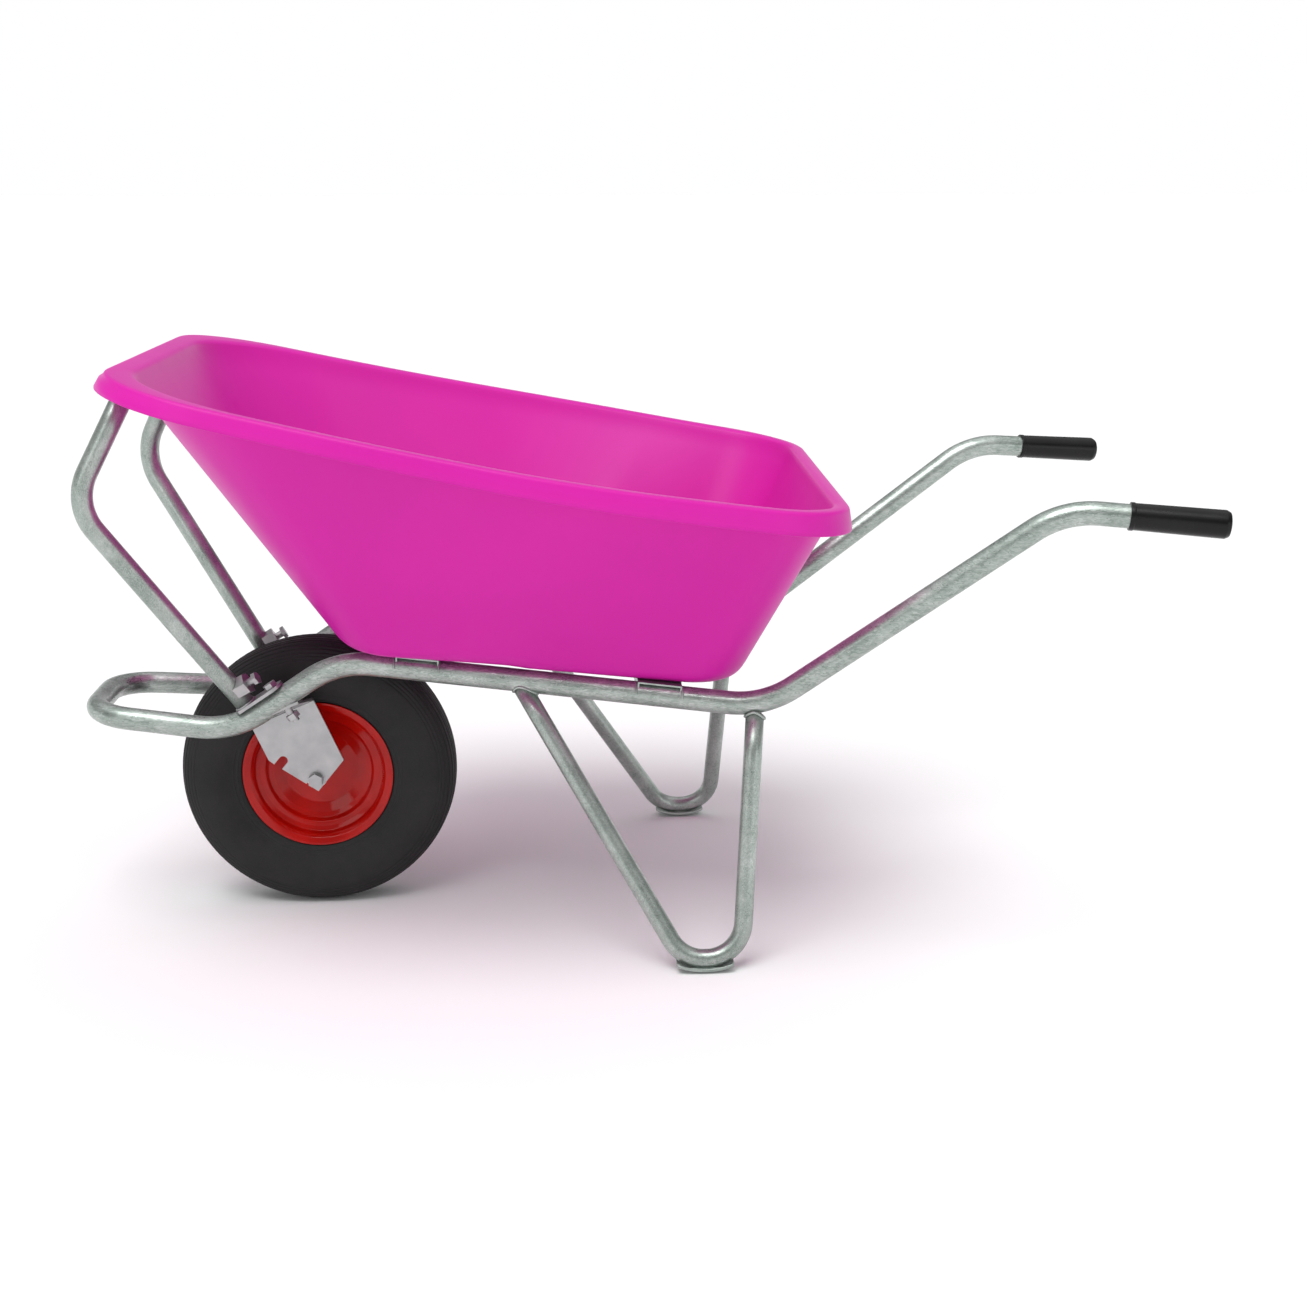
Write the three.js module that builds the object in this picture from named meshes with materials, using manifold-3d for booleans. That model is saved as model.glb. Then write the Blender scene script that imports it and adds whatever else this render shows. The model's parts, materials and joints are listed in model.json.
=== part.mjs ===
// A tubular steel wheelbarrow with a deep plastic tray, one pneumatic wheel and two vee legs.
// Millimetres. The wheel is at the front, towards -X, and the handles point to +X. +Z is up.
// The left side, seen by the person who pushes, is at -Y, and the right side is its mirror image.
// Everything is laid out from the wheel's centre line (x = 0, ground at z = 0), and the whole
// group is then moved so that its origin is at the middle of its footprint.
import * as THREE from "three";
import { mergeVertices } from "three/addons/utils/BufferGeometryUtils.js";
import Module from "manifold-3d";

const wasm = await Module();
wasm.setup();

// ---- driving dimensions ----
const GAP = 0.35; // clearance between pieces that touch
const TUBE_SIDES = 12;
const ROUND_SIDES = 24;

const WHEEL = { radius: 200, halfWidth: 49, segments: 32 };
const RIM = {
  flangeRadius: 109,
  halfWidth: 36.5,
  seatRadius: 96.5,
  wellRadius: 76,
  dishRadius: 66,
  sheet: 2,
};
const HUB = { radius: 15.5, wall: 2.5, halfLength: 49 };
const BUSH = { length: 26, flangeRadius: 15, flange: 3, runningGap: 0.45 };
const AXLE = {
  boltRadius: 6,
  sleeveRadius: 8.5,
  headWidth: 19,
  headHeight: 7.5,
  washerRadius: 10.9,
  washer: 2,
};

// Apex points of the bent frame tube on one side: x, distance from the middle, z.
const FRAME = {
  radius: 16,
  wall: 2,
  gripEnd: [1232.4, 333.2, 610.7],
  handleBend: [1020.1, 301.7, 626.6],
  rearBend: [634.3, 243.1, 351.1],
  frontBend: [49.2, 130.8, 395.8],
  wheelBend: [-103.9, 119.2, 293.5],
  noseBend: [-307, 88.5, 313.2],
  handleBendRadius: 130,
  rearBendRadius: 136,
  frontBendRadius: 140,
  wheelBendRadius: 140,
  noseBendRadius: 66,
};
const GRIP = { length: 131, startWall: 1.55, endWall: 2.55, endCap: 7 };
const LEG = {
  radius: 12.75,
  wall: 2,
  frontTop: 299.5,
  rearTop: 622.6,
  frontFoot: 517,
  rearFoot: 598.5,
  footOut: 320,
  bendRadius: 51,
};
const SHOE = { length: 78, width: 28, flat: 30, rise: 8, sheet: 4.2, lift: 0.5 };
const CROSS = { frontX: 160, rearX: 492, width: 60, depth: 24, sheet: 2.2, overhang: 12 };

const STAY = {
  radius: 14,
  wall: 2,
  bend: [-274.8, 213.3, 635.2],
  top: [-197, 184, 788],
  bendRadius: 75,
  barRadius: 13.5,
  barOverhang: 14,
};
const FOOT = { along: 40, plateStart: 24, plateEnd: 100, plateWidth: 36, plate: 4.5, stubLength: 62 };
const CLAMP = {
  height: 27,
  nutWidth: 27,
  nutFrom: 3,
  nutTo: 24,
  screwRadius: 5.2,
  headWidth: 16,
  headHeight: 6,
  headAt: 34,
};
const PLATE_BOLT = { along: 84, radius: 5, headWidth: 17, headHeight: 6.5 };
const SPARE_HOLE = { along: 62, radius: 3.2 };

// Plates that carry the axle. Their outline is drawn from the axle, turned by tilt.
const AXLE_PLATE = {
  innerFace: 57,
  sheet: 4,
  tiltDeg: 23,
  halfWidth: 49,
  bendBelowTube: 17.6,
  cornerHeight: 10.4,
  tip: [-4.4, -17.5],
  slotStep: [-30.2, 45.3],
  slotAngleDeg: 27,
  slotRadius: 6.6,
  shoulderHeight: 54,
  flangeRiseDeg: 14,
  flangeWidth: 80,
  flangeEndWidth: 40,
};

// The tray's outlines: the x of its ends and its half widths at the front, the middle and the rear.
const TRAY_RIM = { front: -215, rear: 745, frontHalf: 372, midX: 380, midHalf: 432, rearHalf: 366 };
const TRAY_RIM_CORNERS = { frontRadius: 160, midRadius: 900, rearRadius: 140 };
const TRAY_WALL_CORNERS = { frontRadius: 200, midRadius: 900, rearRadius: 140 };
const TRAY_INSET = { front: 31, side: 22.6, rear: 20 };
const TRAY_LIP_FLARE = { front: 13, side: 3, rear: 3 };
const TRAY_FLOOR = { front: 63, rear: 600.6, frontHalf: 180.6, midX: 300, midHalf: 198, rearHalf: 238.5 };
const TRAY_FLOOR_CORNERS = { frontRadius: 62, midRadius: 900, rearRadius: 62 };
const TRAY = {
  wall: 4,
  frontHeight: 815,
  rearHeight: 630,
  sag: 12,
  lipFront: 24,
  lipRear: 31,
  floorBlend: 31,
  cornerSteps: 6,
  straightSteps: [2, 3, 4, 2],
  wallSteps: 4,
};
const TRAY_BOLT = { out: 70, radius: 4, headRadius: 10, headHeight: 3.4, nutWidth: 13, nutHeight: 6.5 };
const VENT_HOLE = { radius: 3.6 };

// ---- small helpers ----
const V = (x, y, z) => new THREE.Vector3(x, y, z);
const left = ([x, out, z]) => V(x, -out, z);
const mirrored = (p) => V(p.x, -p.y, p.z);
const radians = THREE.MathUtils.degToRad;

// A closed geometry as a solid, and back.
function toSolid(geometry) {
  const bare = geometry.clone();
  bare.deleteAttribute("normal");
  bare.deleteAttribute("uv");
  const merged = mergeVertices(bare, 1e-4);
  return new wasm.Manifold(
    new wasm.Mesh({
      numProp: 3,
      vertProperties: Float32Array.from(merged.attributes.position.array),
      triVerts: Uint32Array.from(merged.index.array),
    }),
  );
}

function toGeometry(solid) {
  const mesh = solid.getMesh();
  const geometry = new THREE.BufferGeometry();
  geometry.setAttribute("position", new THREE.BufferAttribute(mesh.vertProperties, 3));
  geometry.setIndex(new THREE.BufferAttribute(mesh.triVerts, 1));
  const flat = geometry.toNonIndexed();
  flat.computeVertexNormals();
  return flat;
}

const cut = (body, ...tools) => toGeometry(tools.reduce((s, t) => s.subtract(toSolid(t)), toSolid(body)));
const join = (body, ...more) => toGeometry(more.reduce((s, t) => s.add(toSolid(t)), toSolid(body)));

// A frame whose local Z is along zAxis and whose local X is as near xHint as it can be.
function axes(origin, zAxis, xHint = V(1, 0, 0)) {
  const z = zAxis.clone().normalize();
  const y = z.clone().cross(xHint).normalize();
  const x = y.clone().cross(z);
  return new THREE.Matrix4().makeBasis(x, y, z).setPosition(origin);
}

const disc = (radius) => new THREE.Shape().absarc(0, 0, radius, 0, 2 * Math.PI);

// A prism of any outline from z0 to z1.
function prism(shape, z0, z1, curveSegments = ROUND_SIDES / 2) {
  const made = new THREE.ExtrudeGeometry(shape, { depth: z1 - z0, bevelEnabled: false, curveSegments });
  return made.translate(0, 0, z0);
}

const rod = (radius, z0, z1, sides = ROUND_SIDES) => prism(disc(radius), z0, z1, sides / 2);

function pipe(outer, inner, z0, z1, sides = ROUND_SIDES) {
  const shape = disc(outer);
  shape.holes.push(disc(inner));
  return prism(shape, z0, z1, sides / 2);
}

function hexagon(acrossFlats) {
  const corners = [];
  for (let i = 0; i < 6; i++) {
    const a = (i * Math.PI) / 3;
    corners.push(new THREE.Vector2(Math.cos(a), Math.sin(a)).multiplyScalar(acrossFlats / Math.sqrt(3)));
  }
  return new THREE.Shape(corners);
}

// A hexagon bolt that points to -Z from the underside of its head at z = 0.
function hexBolt(radius, length, headWidth, headHeight) {
  return join(prism(hexagon(headWidth), 0, headHeight), rod(radius, -length, 1, 16));
}

function hexNut(boreRadius, width, z0, z1) {
  const shape = hexagon(width);
  shape.holes.push(disc(boreRadius));
  return prism(shape, z0, z1, 8);
}

// ---- bent tubes ----
// A centre line of straights and arcs. Each arc is cut into steps, and each straight is one step.
class BentLine extends THREE.Curve {
  constructor(apexes, radii, stepDeg = 15) {
    super();
    this.points = [apexes[0]];
    this.tangents = [apexes[1].clone().sub(apexes[0]).normalize()];
    for (let i = 1; i < apexes.length - 1; i++) this.addBend(apexes, i, radii[i - 1], stepDeg);
    const last = apexes.length - 1;
    this.points.push(apexes[last]);
    this.tangents.push(apexes[last].clone().sub(apexes[last - 1]).normalize());
  }
  addBend(apexes, i, radius, stepDeg) {
    const into = apexes[i].clone().sub(apexes[i - 1]).normalize();
    const out = apexes[i + 1].clone().sub(apexes[i]).normalize();
    const turn = into.angleTo(out);
    const start = apexes[i].clone().addScaledVector(into, -radius * Math.tan(turn / 2));
    const side = out.clone().addScaledVector(into, -out.dot(into)).normalize();
    const steps = Math.max(2, Math.ceil(THREE.MathUtils.radToDeg(turn) / stepDeg));
    for (let k = 0; k <= steps; k++) {
      const a = (turn * k) / steps;
      const p = start.clone().addScaledVector(into, radius * Math.sin(a));
      this.points.push(p.addScaledVector(side, radius * (1 - Math.cos(a))));
      this.tangents.push(into.clone().multiplyScalar(Math.cos(a)).addScaledVector(side, Math.sin(a)));
    }
  }
  get steps() {
    return this.points.length - 1;
  }
  nearest(t) {
    return Math.round(THREE.MathUtils.clamp(t, 0, 1) * this.steps);
  }
  getPoint(t) {
    return this.points[this.nearest(t)].clone();
  }
  getPointAt(u) {
    return this.getPoint(u);
  }
  getTangentAt(u) {
    return this.tangents[this.nearest(u)].clone();
  }
}

function sweep(line, shape, sides) {
  return new THREE.ExtrudeGeometry(shape, {
    steps: line.steps,
    extrudePath: line,
    bevelEnabled: false,
    curveSegments: sides / 2,
  });
}

function sweptTube(line, radius, wall, sides = TUBE_SIDES) {
  const shape = disc(radius);
  shape.holes.push(disc(radius - wall));
  return sweep(line, shape, sides);
}

const sweptRod = (line, radius, sides = TUBE_SIDES) => sweep(line, disc(radius), sides);

// ---- the frame's own geometry ----
const rearBend = left(FRAME.rearBend);
const frontBend = left(FRAME.frontBend);
const wheelBend = left(FRAME.wheelBend);
const handleBend = left(FRAME.handleBend);
const gripEnd = left(FRAME.gripEnd);
const handleAxis = gripEnd.clone().sub(handleBend).normalize();
const tubeEnd = gripEnd.clone().addScaledVector(handleAxis, -GRIP.endCap - GAP);

const sideApexes = [tubeEnd, handleBend, rearBend, frontBend, wheelBend, left(FRAME.noseBend)];
const sideRadii = [
  FRAME.handleBendRadius,
  FRAME.rearBendRadius,
  FRAME.frontBendRadius,
  FRAME.wheelBendRadius,
  FRAME.noseBendRadius,
];
const frameLine = new BentLine(
  [...sideApexes, ...sideApexes.map(mirrored).reverse()],
  [...sideRadii, ...[...sideRadii].reverse()],
);

// What other pieces must stay clear of around the frame tube.
const frameClearance = sweptRod(frameLine, FRAME.radius + GAP);

// The straight that carries the tray: its slope, and the height of its axis above the ground at x.
const deckSlope = (rearBend.z - frontBend.z) / (rearBend.x - frontBend.x);
const deckAxisHeight = (x) => frontBend.z + deckSlope * (x - frontBend.x);
const deckOut = (x) =>
  THREE.MathUtils.mapLinear(x, frontBend.x, rearBend.x, FRAME.frontBend[1], FRAME.rearBend[1]);
const deckTilt = new THREE.Matrix4().makeRotationY(-Math.atan(deckSlope));
const deckTop = FRAME.radius + GAP + CROSS.sheet;

// The inclined straight beside the wheel: a point on its axis, its direction and its upward normal.
const incline = frontBend.clone().sub(wheelBend).normalize();
const inclineNormal = incline.clone().cross(V(0, 1, 0)).normalize().multiplyScalar(-1);
if (inclineNormal.z < 0) inclineNormal.negate();
const onIncline = (along, lift) =>
  wheelBend.clone().addScaledVector(incline, along).addScaledVector(inclineNormal, lift);

function frameTube() {
  const bolt = rod(PLATE_BOLT.radius + GAP, -2 * FRAME.radius, 2 * FRAME.radius, 12);
  const boltHole = bolt.applyMatrix4(axes(onIncline(PLATE_BOLT.along, 0), inclineNormal));
  const vent = rod(VENT_HOLE.radius, -2 * FRAME.radius, 0, 10).rotateY(Math.PI / 2);
  vent.translate(FRAME.noseBend[0], -FRAME.noseBend[1] * 0.6, FRAME.noseBend[2]);
  const mirroredHole = boltHole.clone().applyMatrix4(MIRROR);
  return cut(sweptTube(frameLine, FRAME.radius, FRAME.wall), boltHole, flip(mirroredHole), vent);
}

// A mirrored geometry has its faces turned back to point out.
function flip(geometry) {
  const flat = geometry.index ? geometry.toNonIndexed() : geometry;
  const p = flat.attributes.position;
  for (let i = 0; i < p.count; i += 3) {
    const a = V().fromBufferAttribute(p, i + 1);
    const b = V().fromBufferAttribute(p, i + 2);
    p.setXYZ(i + 1, b.x, b.y, b.z);
    p.setXYZ(i + 2, a.x, a.y, a.z);
  }
  return flat;
}
const MIRROR = new THREE.Matrix4().makeScale(1, -1, 1);

function grip() {
  const inside = FRAME.radius + GAP;
  const bore = inside / Math.cos(Math.PI / ROUND_SIDES);
  const r0 = inside + GRIP.startWall;
  const r1 = inside + GRIP.endWall;
  const L = GRIP.length;
  const profile = [
    [0, L - GRIP.endCap],
    [bore, L - GRIP.endCap],
    [bore, 0],
    [r0 - 1, 0],
    [r0, 1.2],
    [r0, 8],
    [r1, L - 22],
    [r1, L - 7],
    [r1 - 2.2, L - 2],
    [r1 - 7, L],
    [0, L],
  ].map(([r, z]) => new THREE.Vector2(r, z));
  const made = new THREE.LatheGeometry(profile, ROUND_SIDES).rotateX(Math.PI / 2);
  return made.applyMatrix4(axes(gripEnd.clone().addScaledVector(handleAxis, -L), handleAxis));
}

// ---- legs and shoes ----
function leg() {
  const onDeck = (x) => V(x, -deckOut(x), deckAxisHeight(x));
  const low = SHOE.lift + SHOE.sheet + GAP + LEG.radius;
  const apexes = [
    onDeck(LEG.frontTop),
    V(LEG.frontFoot, -LEG.footOut, low),
    V(LEG.rearFoot, -LEG.footOut, low),
    onDeck(LEG.rearTop),
  ];
  const line = new BentLine(apexes, [LEG.bendRadius, LEG.bendRadius], 20);
  const tube = sweptTube(line, LEG.radius, LEG.wall, 12);
  const vent = rod(VENT_HOLE.radius + 0.6, 0, LEG.radius + 5, 10).rotateX(Math.PI / 2);
  vent.translate(LEG.rearFoot - 30, -LEG.footOut, low);
  return cut(tube, frameClearance, vent);
}

function shoe() {
  const half = SHOE.length / 2;
  const flat = SHOE.flat / 2;
  const mid = (half + flat) / 2;
  const t = SHOE.sheet;
  const under = [
    [-half, SHOE.rise],
    [-mid, SHOE.rise * 0.36],
    [-flat, 0],
    [flat, 0],
    [mid, SHOE.rise * 0.36],
    [half, SHOE.rise],
  ];
  const over = under.map(([x, z]) => [x * 0.975, z + t]).reverse();
  const shape = new THREE.Shape([...under, ...over].map(([x, z]) => new THREE.Vector2(x, z)));
  const made = prism(shape, -SHOE.width / 2, SHOE.width / 2).rotateX(Math.PI / 2);
  return made.translate((LEG.frontFoot + LEG.rearFoot) / 2 - 9, -LEG.footOut, 0);
}

// ---- cross members: folded channels that sit over both side tubes ----
function crossMember(x) {
  const w = CROSS.width / 2;
  const top = deckTop;
  const low = top - CROSS.depth;
  const t = CROSS.sheet;
  const channel = new THREE.Shape(
    [
      [-w, low],
      [-w, top],
      [w, top],
      [w, low],
      [w - t, low],
      [w - t, top - t],
      [t - w, top - t],
      [t - w, low],
    ].map(([u, v]) => new THREE.Vector2(u, v)),
  );
  const reach = deckOut(x) + 3 * FRAME.radius;
  const bar = prism(channel, -reach, reach).rotateX(Math.PI / 2);
  bar.applyMatrix4(deckTilt).translate(x, 0, deckAxisHeight(x));
  // In plan the ends run along the side tubes.
  const out = (at) => deckOut(at) + CROSS.overhang;
  const a = x - CROSS.width;
  const b = x + CROSS.width;
  const plan = new THREE.Shape(
    [
      [a, -out(a)],
      [b, -out(b)],
      [b, out(b)],
      [a, out(a)],
    ].map(([u, v]) => new THREE.Vector2(u, v)),
  );
  const trimmed = toSolid(bar).intersect(toSolid(prism(plan, 0, 600)));
  const holes = [-1, 1].map((s) => trayBoltAt(x, s, rod(TRAY_BOLT.radius + GAP, -40, 40, 12)));
  return cut(toGeometry(trimmed), frameClearance, ...holes);
}

// Puts a piece on a tray bolt's axis, with z = 0 at the cross member's upper face.
function trayBoltAt(x, side, geometry) {
  const along = V(deckTop * -deckSlope, 0, deckTop);
  const place = new THREE.Matrix4().makeTranslation(x, side * TRAY_BOLT.out, deckAxisHeight(x));
  return geometry.translate(0, 0, along.length()).applyMatrix4(deckTilt).applyMatrix4(place);
}

function trayBolt(x, side) {
  const headBase = GAP * 2 + TRAY.wall;
  const b = TRAY_BOLT;
  const profile = [
    [0, b.headHeight + headBase],
    [b.headRadius * 0.55, b.headHeight * 0.86 + headBase],
    [b.headRadius, 1 + headBase],
    [b.headRadius, headBase],
    [b.radius, headBase],
    [b.radius, -CROSS.sheet - b.nutHeight - 5],
    [0, -CROSS.sheet - b.nutHeight - 5],
  ].map(([r, z]) => new THREE.Vector2(r, z));
  return trayBoltAt(x, side, new THREE.LatheGeometry(profile.reverse(), 16).rotateX(Math.PI / 2));
}

function trayNut(x, side) {
  const top = -CROSS.sheet - GAP;
  const nut = hexNut(TRAY_BOLT.radius + GAP, TRAY_BOLT.nutWidth, top - TRAY_BOLT.nutHeight, top);
  return trayBoltAt(x, side, nut);
}

// ---- front stays, their crossbar and their feet ----
const footTop = FRAME.radius + GAP + FOOT.plate;
const stayBase = onIncline(FOOT.along, footTop);
const stayBend = left(STAY.bend);
const stayTop = left(STAY.top);
const stayAxis = stayBend.clone().sub(stayBase).normalize();
const barLine = new BentLine([V(STAY.top[0], -STAY.top[1] - STAY.barOverhang, STAY.top[2]),
  V(STAY.top[0], STAY.top[1] + STAY.barOverhang, STAY.top[2])], []);
const footAxes = () => axes(onIncline(0, 0), inclineNormal, incline);

function stay() {
  const start = stayBase.clone().addScaledVector(stayAxis, -20);
  const line = new BentLine([start, stayBend, stayTop], [STAY.bendRadius]);
  const tube = sweptTube(line, STAY.radius, STAY.wall, 12);
  const below = new THREE.BoxGeometry(200, 200, 100).translate(0, 0, footTop + GAP - 50);
  const screw = clampPiece(rod(CLAMP.screwRadius + GAP, 0, 40, 12));
  return cut(tube, below.applyMatrix4(footAxes()), sweptRod(barLine, STAY.barRadius + GAP, 16), screw);
}

const stayCrossbar = () => sweptTube(barLine, STAY.barRadius, STAY.wall, 16);

function footPlateShape() {
  const w = FOOT.plateWidth / 2;
  const shape = new THREE.Shape();
  shape.moveTo(FOOT.plateStart + 6, -w);
  shape.lineTo(FOOT.plateEnd - w, -w);
  shape.absarc(FOOT.plateEnd - w, 0, w, -Math.PI / 2, Math.PI / 2);
  shape.lineTo(FOOT.plateStart + 6, w);
  shape.lineTo(FOOT.plateStart, w - 8);
  shape.lineTo(FOOT.plateStart, 8 - w);
  for (const hole of [PLATE_BOLT, SPARE_HOLE]) {
    shape.holes.push(new THREE.Path().absarc(hole.along, 0, hole.radius + GAP, 0, 2 * Math.PI));
  }
  return shape;
}

function stayFoot() {
  const plate = prism(footPlateShape(), FRAME.radius + GAP, footTop, 8).applyMatrix4(footAxes());
  const stubRadius = STAY.radius - STAY.wall - 2 * GAP;
  const stub = pipe(stubRadius, stubRadius - 3, -1, FOOT.stubLength, 12);
  stub.applyMatrix4(axes(stayBase, stayAxis));
  const under = new THREE.BoxGeometry(200, 200, 60).translate(0, 0, footTop - 31).applyMatrix4(footAxes());
  return cut(join(plate, cut(stub, under)), frameClearance);
}

// The clamp's axis is square to the stay and points back and up.
const clampAxis = V(1, 0, 0).addScaledVector(stayAxis, -stayAxis.x).normalize();
const clampPiece = (geometry) =>
  geometry.applyMatrix4(axes(stayBase.clone().addScaledVector(stayAxis, CLAMP.height), clampAxis, stayAxis));

function clampNut() {
  const nut = hexNut(CLAMP.screwRadius + GAP, CLAMP.nutWidth, CLAMP.nutFrom, CLAMP.nutTo);
  const round = sweptRod(new BentLine([stayBase.clone().addScaledVector(stayAxis, -60), stayBend], []),
    STAY.radius + GAP, 24);
  return cut(clampPiece(nut), round, stayFootClearance());
}

const stayFootClearance = () =>
  new THREE.BoxGeometry(400, 200, 60).translate(0, 0, footTop + GAP - 30).applyMatrix4(footAxes());

function clampScrew() {
  const tip = STAY.radius - STAY.wall - GAP;
  const screw = hexBolt(CLAMP.screwRadius, CLAMP.headAt - tip, CLAMP.headWidth, CLAMP.headHeight);
  return clampPiece(screw.translate(0, 0, CLAMP.headAt));
}

// ---- axle plates ----
const plateTilt = radians(AXLE_PLATE.tiltDeg);
const plateAlong = V(Math.cos(plateTilt), 0, Math.sin(plateTilt));
const plateUp = V(-Math.sin(plateTilt), 0, Math.cos(plateTilt));
const axle = V(0, 0, WHEEL.radius);
// Local X along the fold, local Y up the plate, local Z out to the left from the plate's inner face.
const plateAxes = new THREE.Matrix4()
  .makeBasis(plateAlong, plateUp, V(0, -1, 0))
  .setPosition(axle.clone().add(V(0, -AXLE_PLATE.innerFace, 0)));
// Where the plate's bolt meets the underside of the frame tube, in the plate's own axes.
const boltSeat = onIncline(PLATE_BOLT.along, -FRAME.radius).applyMatrix4(plateAxes.clone().invert());
const bendHeight = boltSeat.y - AXLE_PLATE.bendBelowTube;

function slotCutter([cx, cy]) {
  const r = AXLE_PLATE.slotRadius;
  const shape = new THREE.Shape();
  shape.absarc(0, 0, r, -Math.PI / 2, Math.PI / 2);
  shape.lineTo(-40, r);
  shape.lineTo(-40, -r);
  const cutter = prism(shape, -5, AXLE_PLATE.sheet + 5, 8).rotateZ(radians(AXLE_PLATE.slotAngleDeg));
  return cutter.translate(cx, cy, 0);
}

function axlePlate() {
  const p = AXLE_PLATE;
  const w = p.halfWidth;
  const outline = new THREE.Shape(
    [
      [w, bendHeight],
      [-w, bendHeight],
      [-w, p.shoulderHeight],
      [-w + 4.5, p.shoulderHeight - 8.5],
      p.tip,
      [w, p.cornerHeight],
    ].map(([u, v]) => new THREE.Vector2(u, v)),
  );
  const face = cut(prism(outline, 0, p.sheet), slotCutter([0, 0]), slotCutter(p.slotStep));
  const lug = new THREE.Shape(
    [
      [-w, -p.sheet],
      [w, -p.sheet],
      [boltSeat.x + p.flangeEndWidth / 2, p.flangeWidth],
      [boltSeat.x - p.flangeEndWidth / 2, p.flangeWidth],
    ].map(([u, v]) => new THREE.Vector2(u, v)),
  );
  const rise = radians(p.flangeRiseDeg);
  const flange = prism(lug, -p.sheet, 0).rotateX(Math.PI / 2 - rise).translate(0, bendHeight, p.sheet / 2);
  const inner = new THREE.BoxGeometry(300, 60, 60).translate(0, bendHeight, -30);
  const body = cut(join(face, flange), inner).applyMatrix4(plateAxes);
  const bolt = rod(PLATE_BOLT.radius + GAP, -3 * FRAME.radius, 0, 12);
  return cut(body, frameClearance, bolt.applyMatrix4(axes(onIncline(PLATE_BOLT.along, 0), inclineNormal)));
}

const plateBoltPiece = (geometry) =>
  geometry.applyMatrix4(axes(onIncline(PLATE_BOLT.along, 0), inclineNormal, incline));
const plateNutTop = -FRAME.radius - AXLE_PLATE.sheet - 5.2;
const plateNutHeight = 8;

function plateBolt() {
  const b = PLATE_BOLT;
  const length = footTop + GAP - plateNutTop + plateNutHeight + 5;
  return plateBoltPiece(hexBolt(b.radius, length, b.headWidth, b.headHeight).translate(0, 0, footTop + GAP));
}

function plateNut() {
  const bore = PLATE_BOLT.radius + GAP;
  return plateBoltPiece(hexNut(bore, PLATE_BOLT.headWidth, plateNutTop - plateNutHeight, plateNutTop));
}

// ---- the axle, which stays with the frame ----
const alongAxle = (geometry) => geometry.rotateX(Math.PI / 2).translate(0, 0, WHEEL.radius);
const plateOuter = AXLE_PLATE.innerFace + AXLE_PLATE.sheet;
const washerOut = plateOuter + GAP + AXLE.washer;

const axleSleeve = () => {
  const half = AXLE_PLATE.innerFace - GAP;
  return alongAxle(pipe(AXLE.sleeveRadius, AXLE.boltRadius + GAP, -half, half, 32));
};
const axleBolt = () => {
  const under = washerOut + GAP;
  const bolt = hexBolt(AXLE.boltRadius, 2 * under + 14, AXLE.headWidth, AXLE.headHeight);
  return alongAxle(bolt.rotateZ(Math.PI / 6).translate(0, 0, under));
};
const axleNut = () => {
  const from = -washerOut - GAP;
  return alongAxle(hexNut(AXLE.boltRadius + GAP, AXLE.headWidth, from - 10, from));
};
const axleWasher = () =>
  alongAxle(pipe(AXLE.washerRadius, AXLE.boltRadius + GAP, plateOuter + GAP, washerOut, ROUND_SIDES));

// ---- the wheel, which turns about the axle ----
const halfRing = (points) => [...points, ...points.map(([r, y]) => [r, -y]).reverse()];
function ring(points, segments = WHEEL.segments) {
  const loop = [...points, points[0]].map(([r, y]) => new THREE.Vector2(r, y));
  if (THREE.ShapeUtils.area(loop) < 0) loop.reverse();
  return new THREE.LatheGeometry(loop, segments).translate(0, 0, WHEEL.radius);
}

function rim() {
  const { flangeRadius: F, halfWidth: W, seatRadius: S, wellRadius: D, dishRadius: C, sheet: t } = RIM;
  const hubGap = HUB.radius + GAP;
  const visible = [
    [hubGap, t],
    [C - 10, t],
    [D - t, 12],
    [S - 13, 21],
    [S - t, W - 6],
    [F - 2, W + 2],
    [F, W + 1],
  ];
  const tyreSide = [
    [F, W - 1],
    [S, W - 7],
    [S, 22.5],
    [D + t, 13.5],
  ];
  return cut(ring(halfRing([...visible, ...tyreSide])), valvePiece(rod(VALVE.radius + 1, -6, 60, 12)));
}

// The tyre's height above the rim's flange. Its section and the inner tube's follow it.
const sidewall = WHEEL.radius - RIM.flangeRadius;

function tyre() {
  const { flangeRadius: F, halfWidth: W, seatRadius: S } = RIM;
  const R = WHEEL.radius;
  const H = sidewall;
  const B = WHEEL.halfWidth;
  const outside = [
    [R, 0],
    [R - 0.013 * H, 0.33 * B],
    [R - 0.06 * H, 0.6 * B],
    [R - 0.154 * H, 0.81 * B],
    [R - 0.286 * H, 0.94 * B],
    [R - 0.484 * H, B],
    [R - 0.77 * H, 0.9 * B],
    [F + 3, W + 1.5],
    [F + 1, W - 2.2],
    [S + 1, W - 8.5],
    [S + 1, 23],
  ];
  const inside = [
    [S + 7, 23],
    [R - 0.813 * H, 0.7 * B],
    [R - 0.495 * H, 0.82 * B],
    [R - 0.242 * H, 0.68 * B],
    [R - 0.115 * H, 0.25 * B],
  ];
  return ring([...halfRing([...outside, ...inside].slice(1)), outside[0]]);
}

// The inner tube is hollow and opens where its valve stem goes in.
const TUBE = { wall: 2.2 };
const tubeSection = Math.min(0.34 * sidewall, 0.64 * WHEEL.halfWidth);
const tubeRadius = RIM.flangeRadius + 0.43 * sidewall;
const VALVE = {
  radius: 4,
  length: 52,
  capRadius: 5.2,
  capLength: 9,
  rootOut: 5,
  angleDeg: 40,
};

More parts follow.
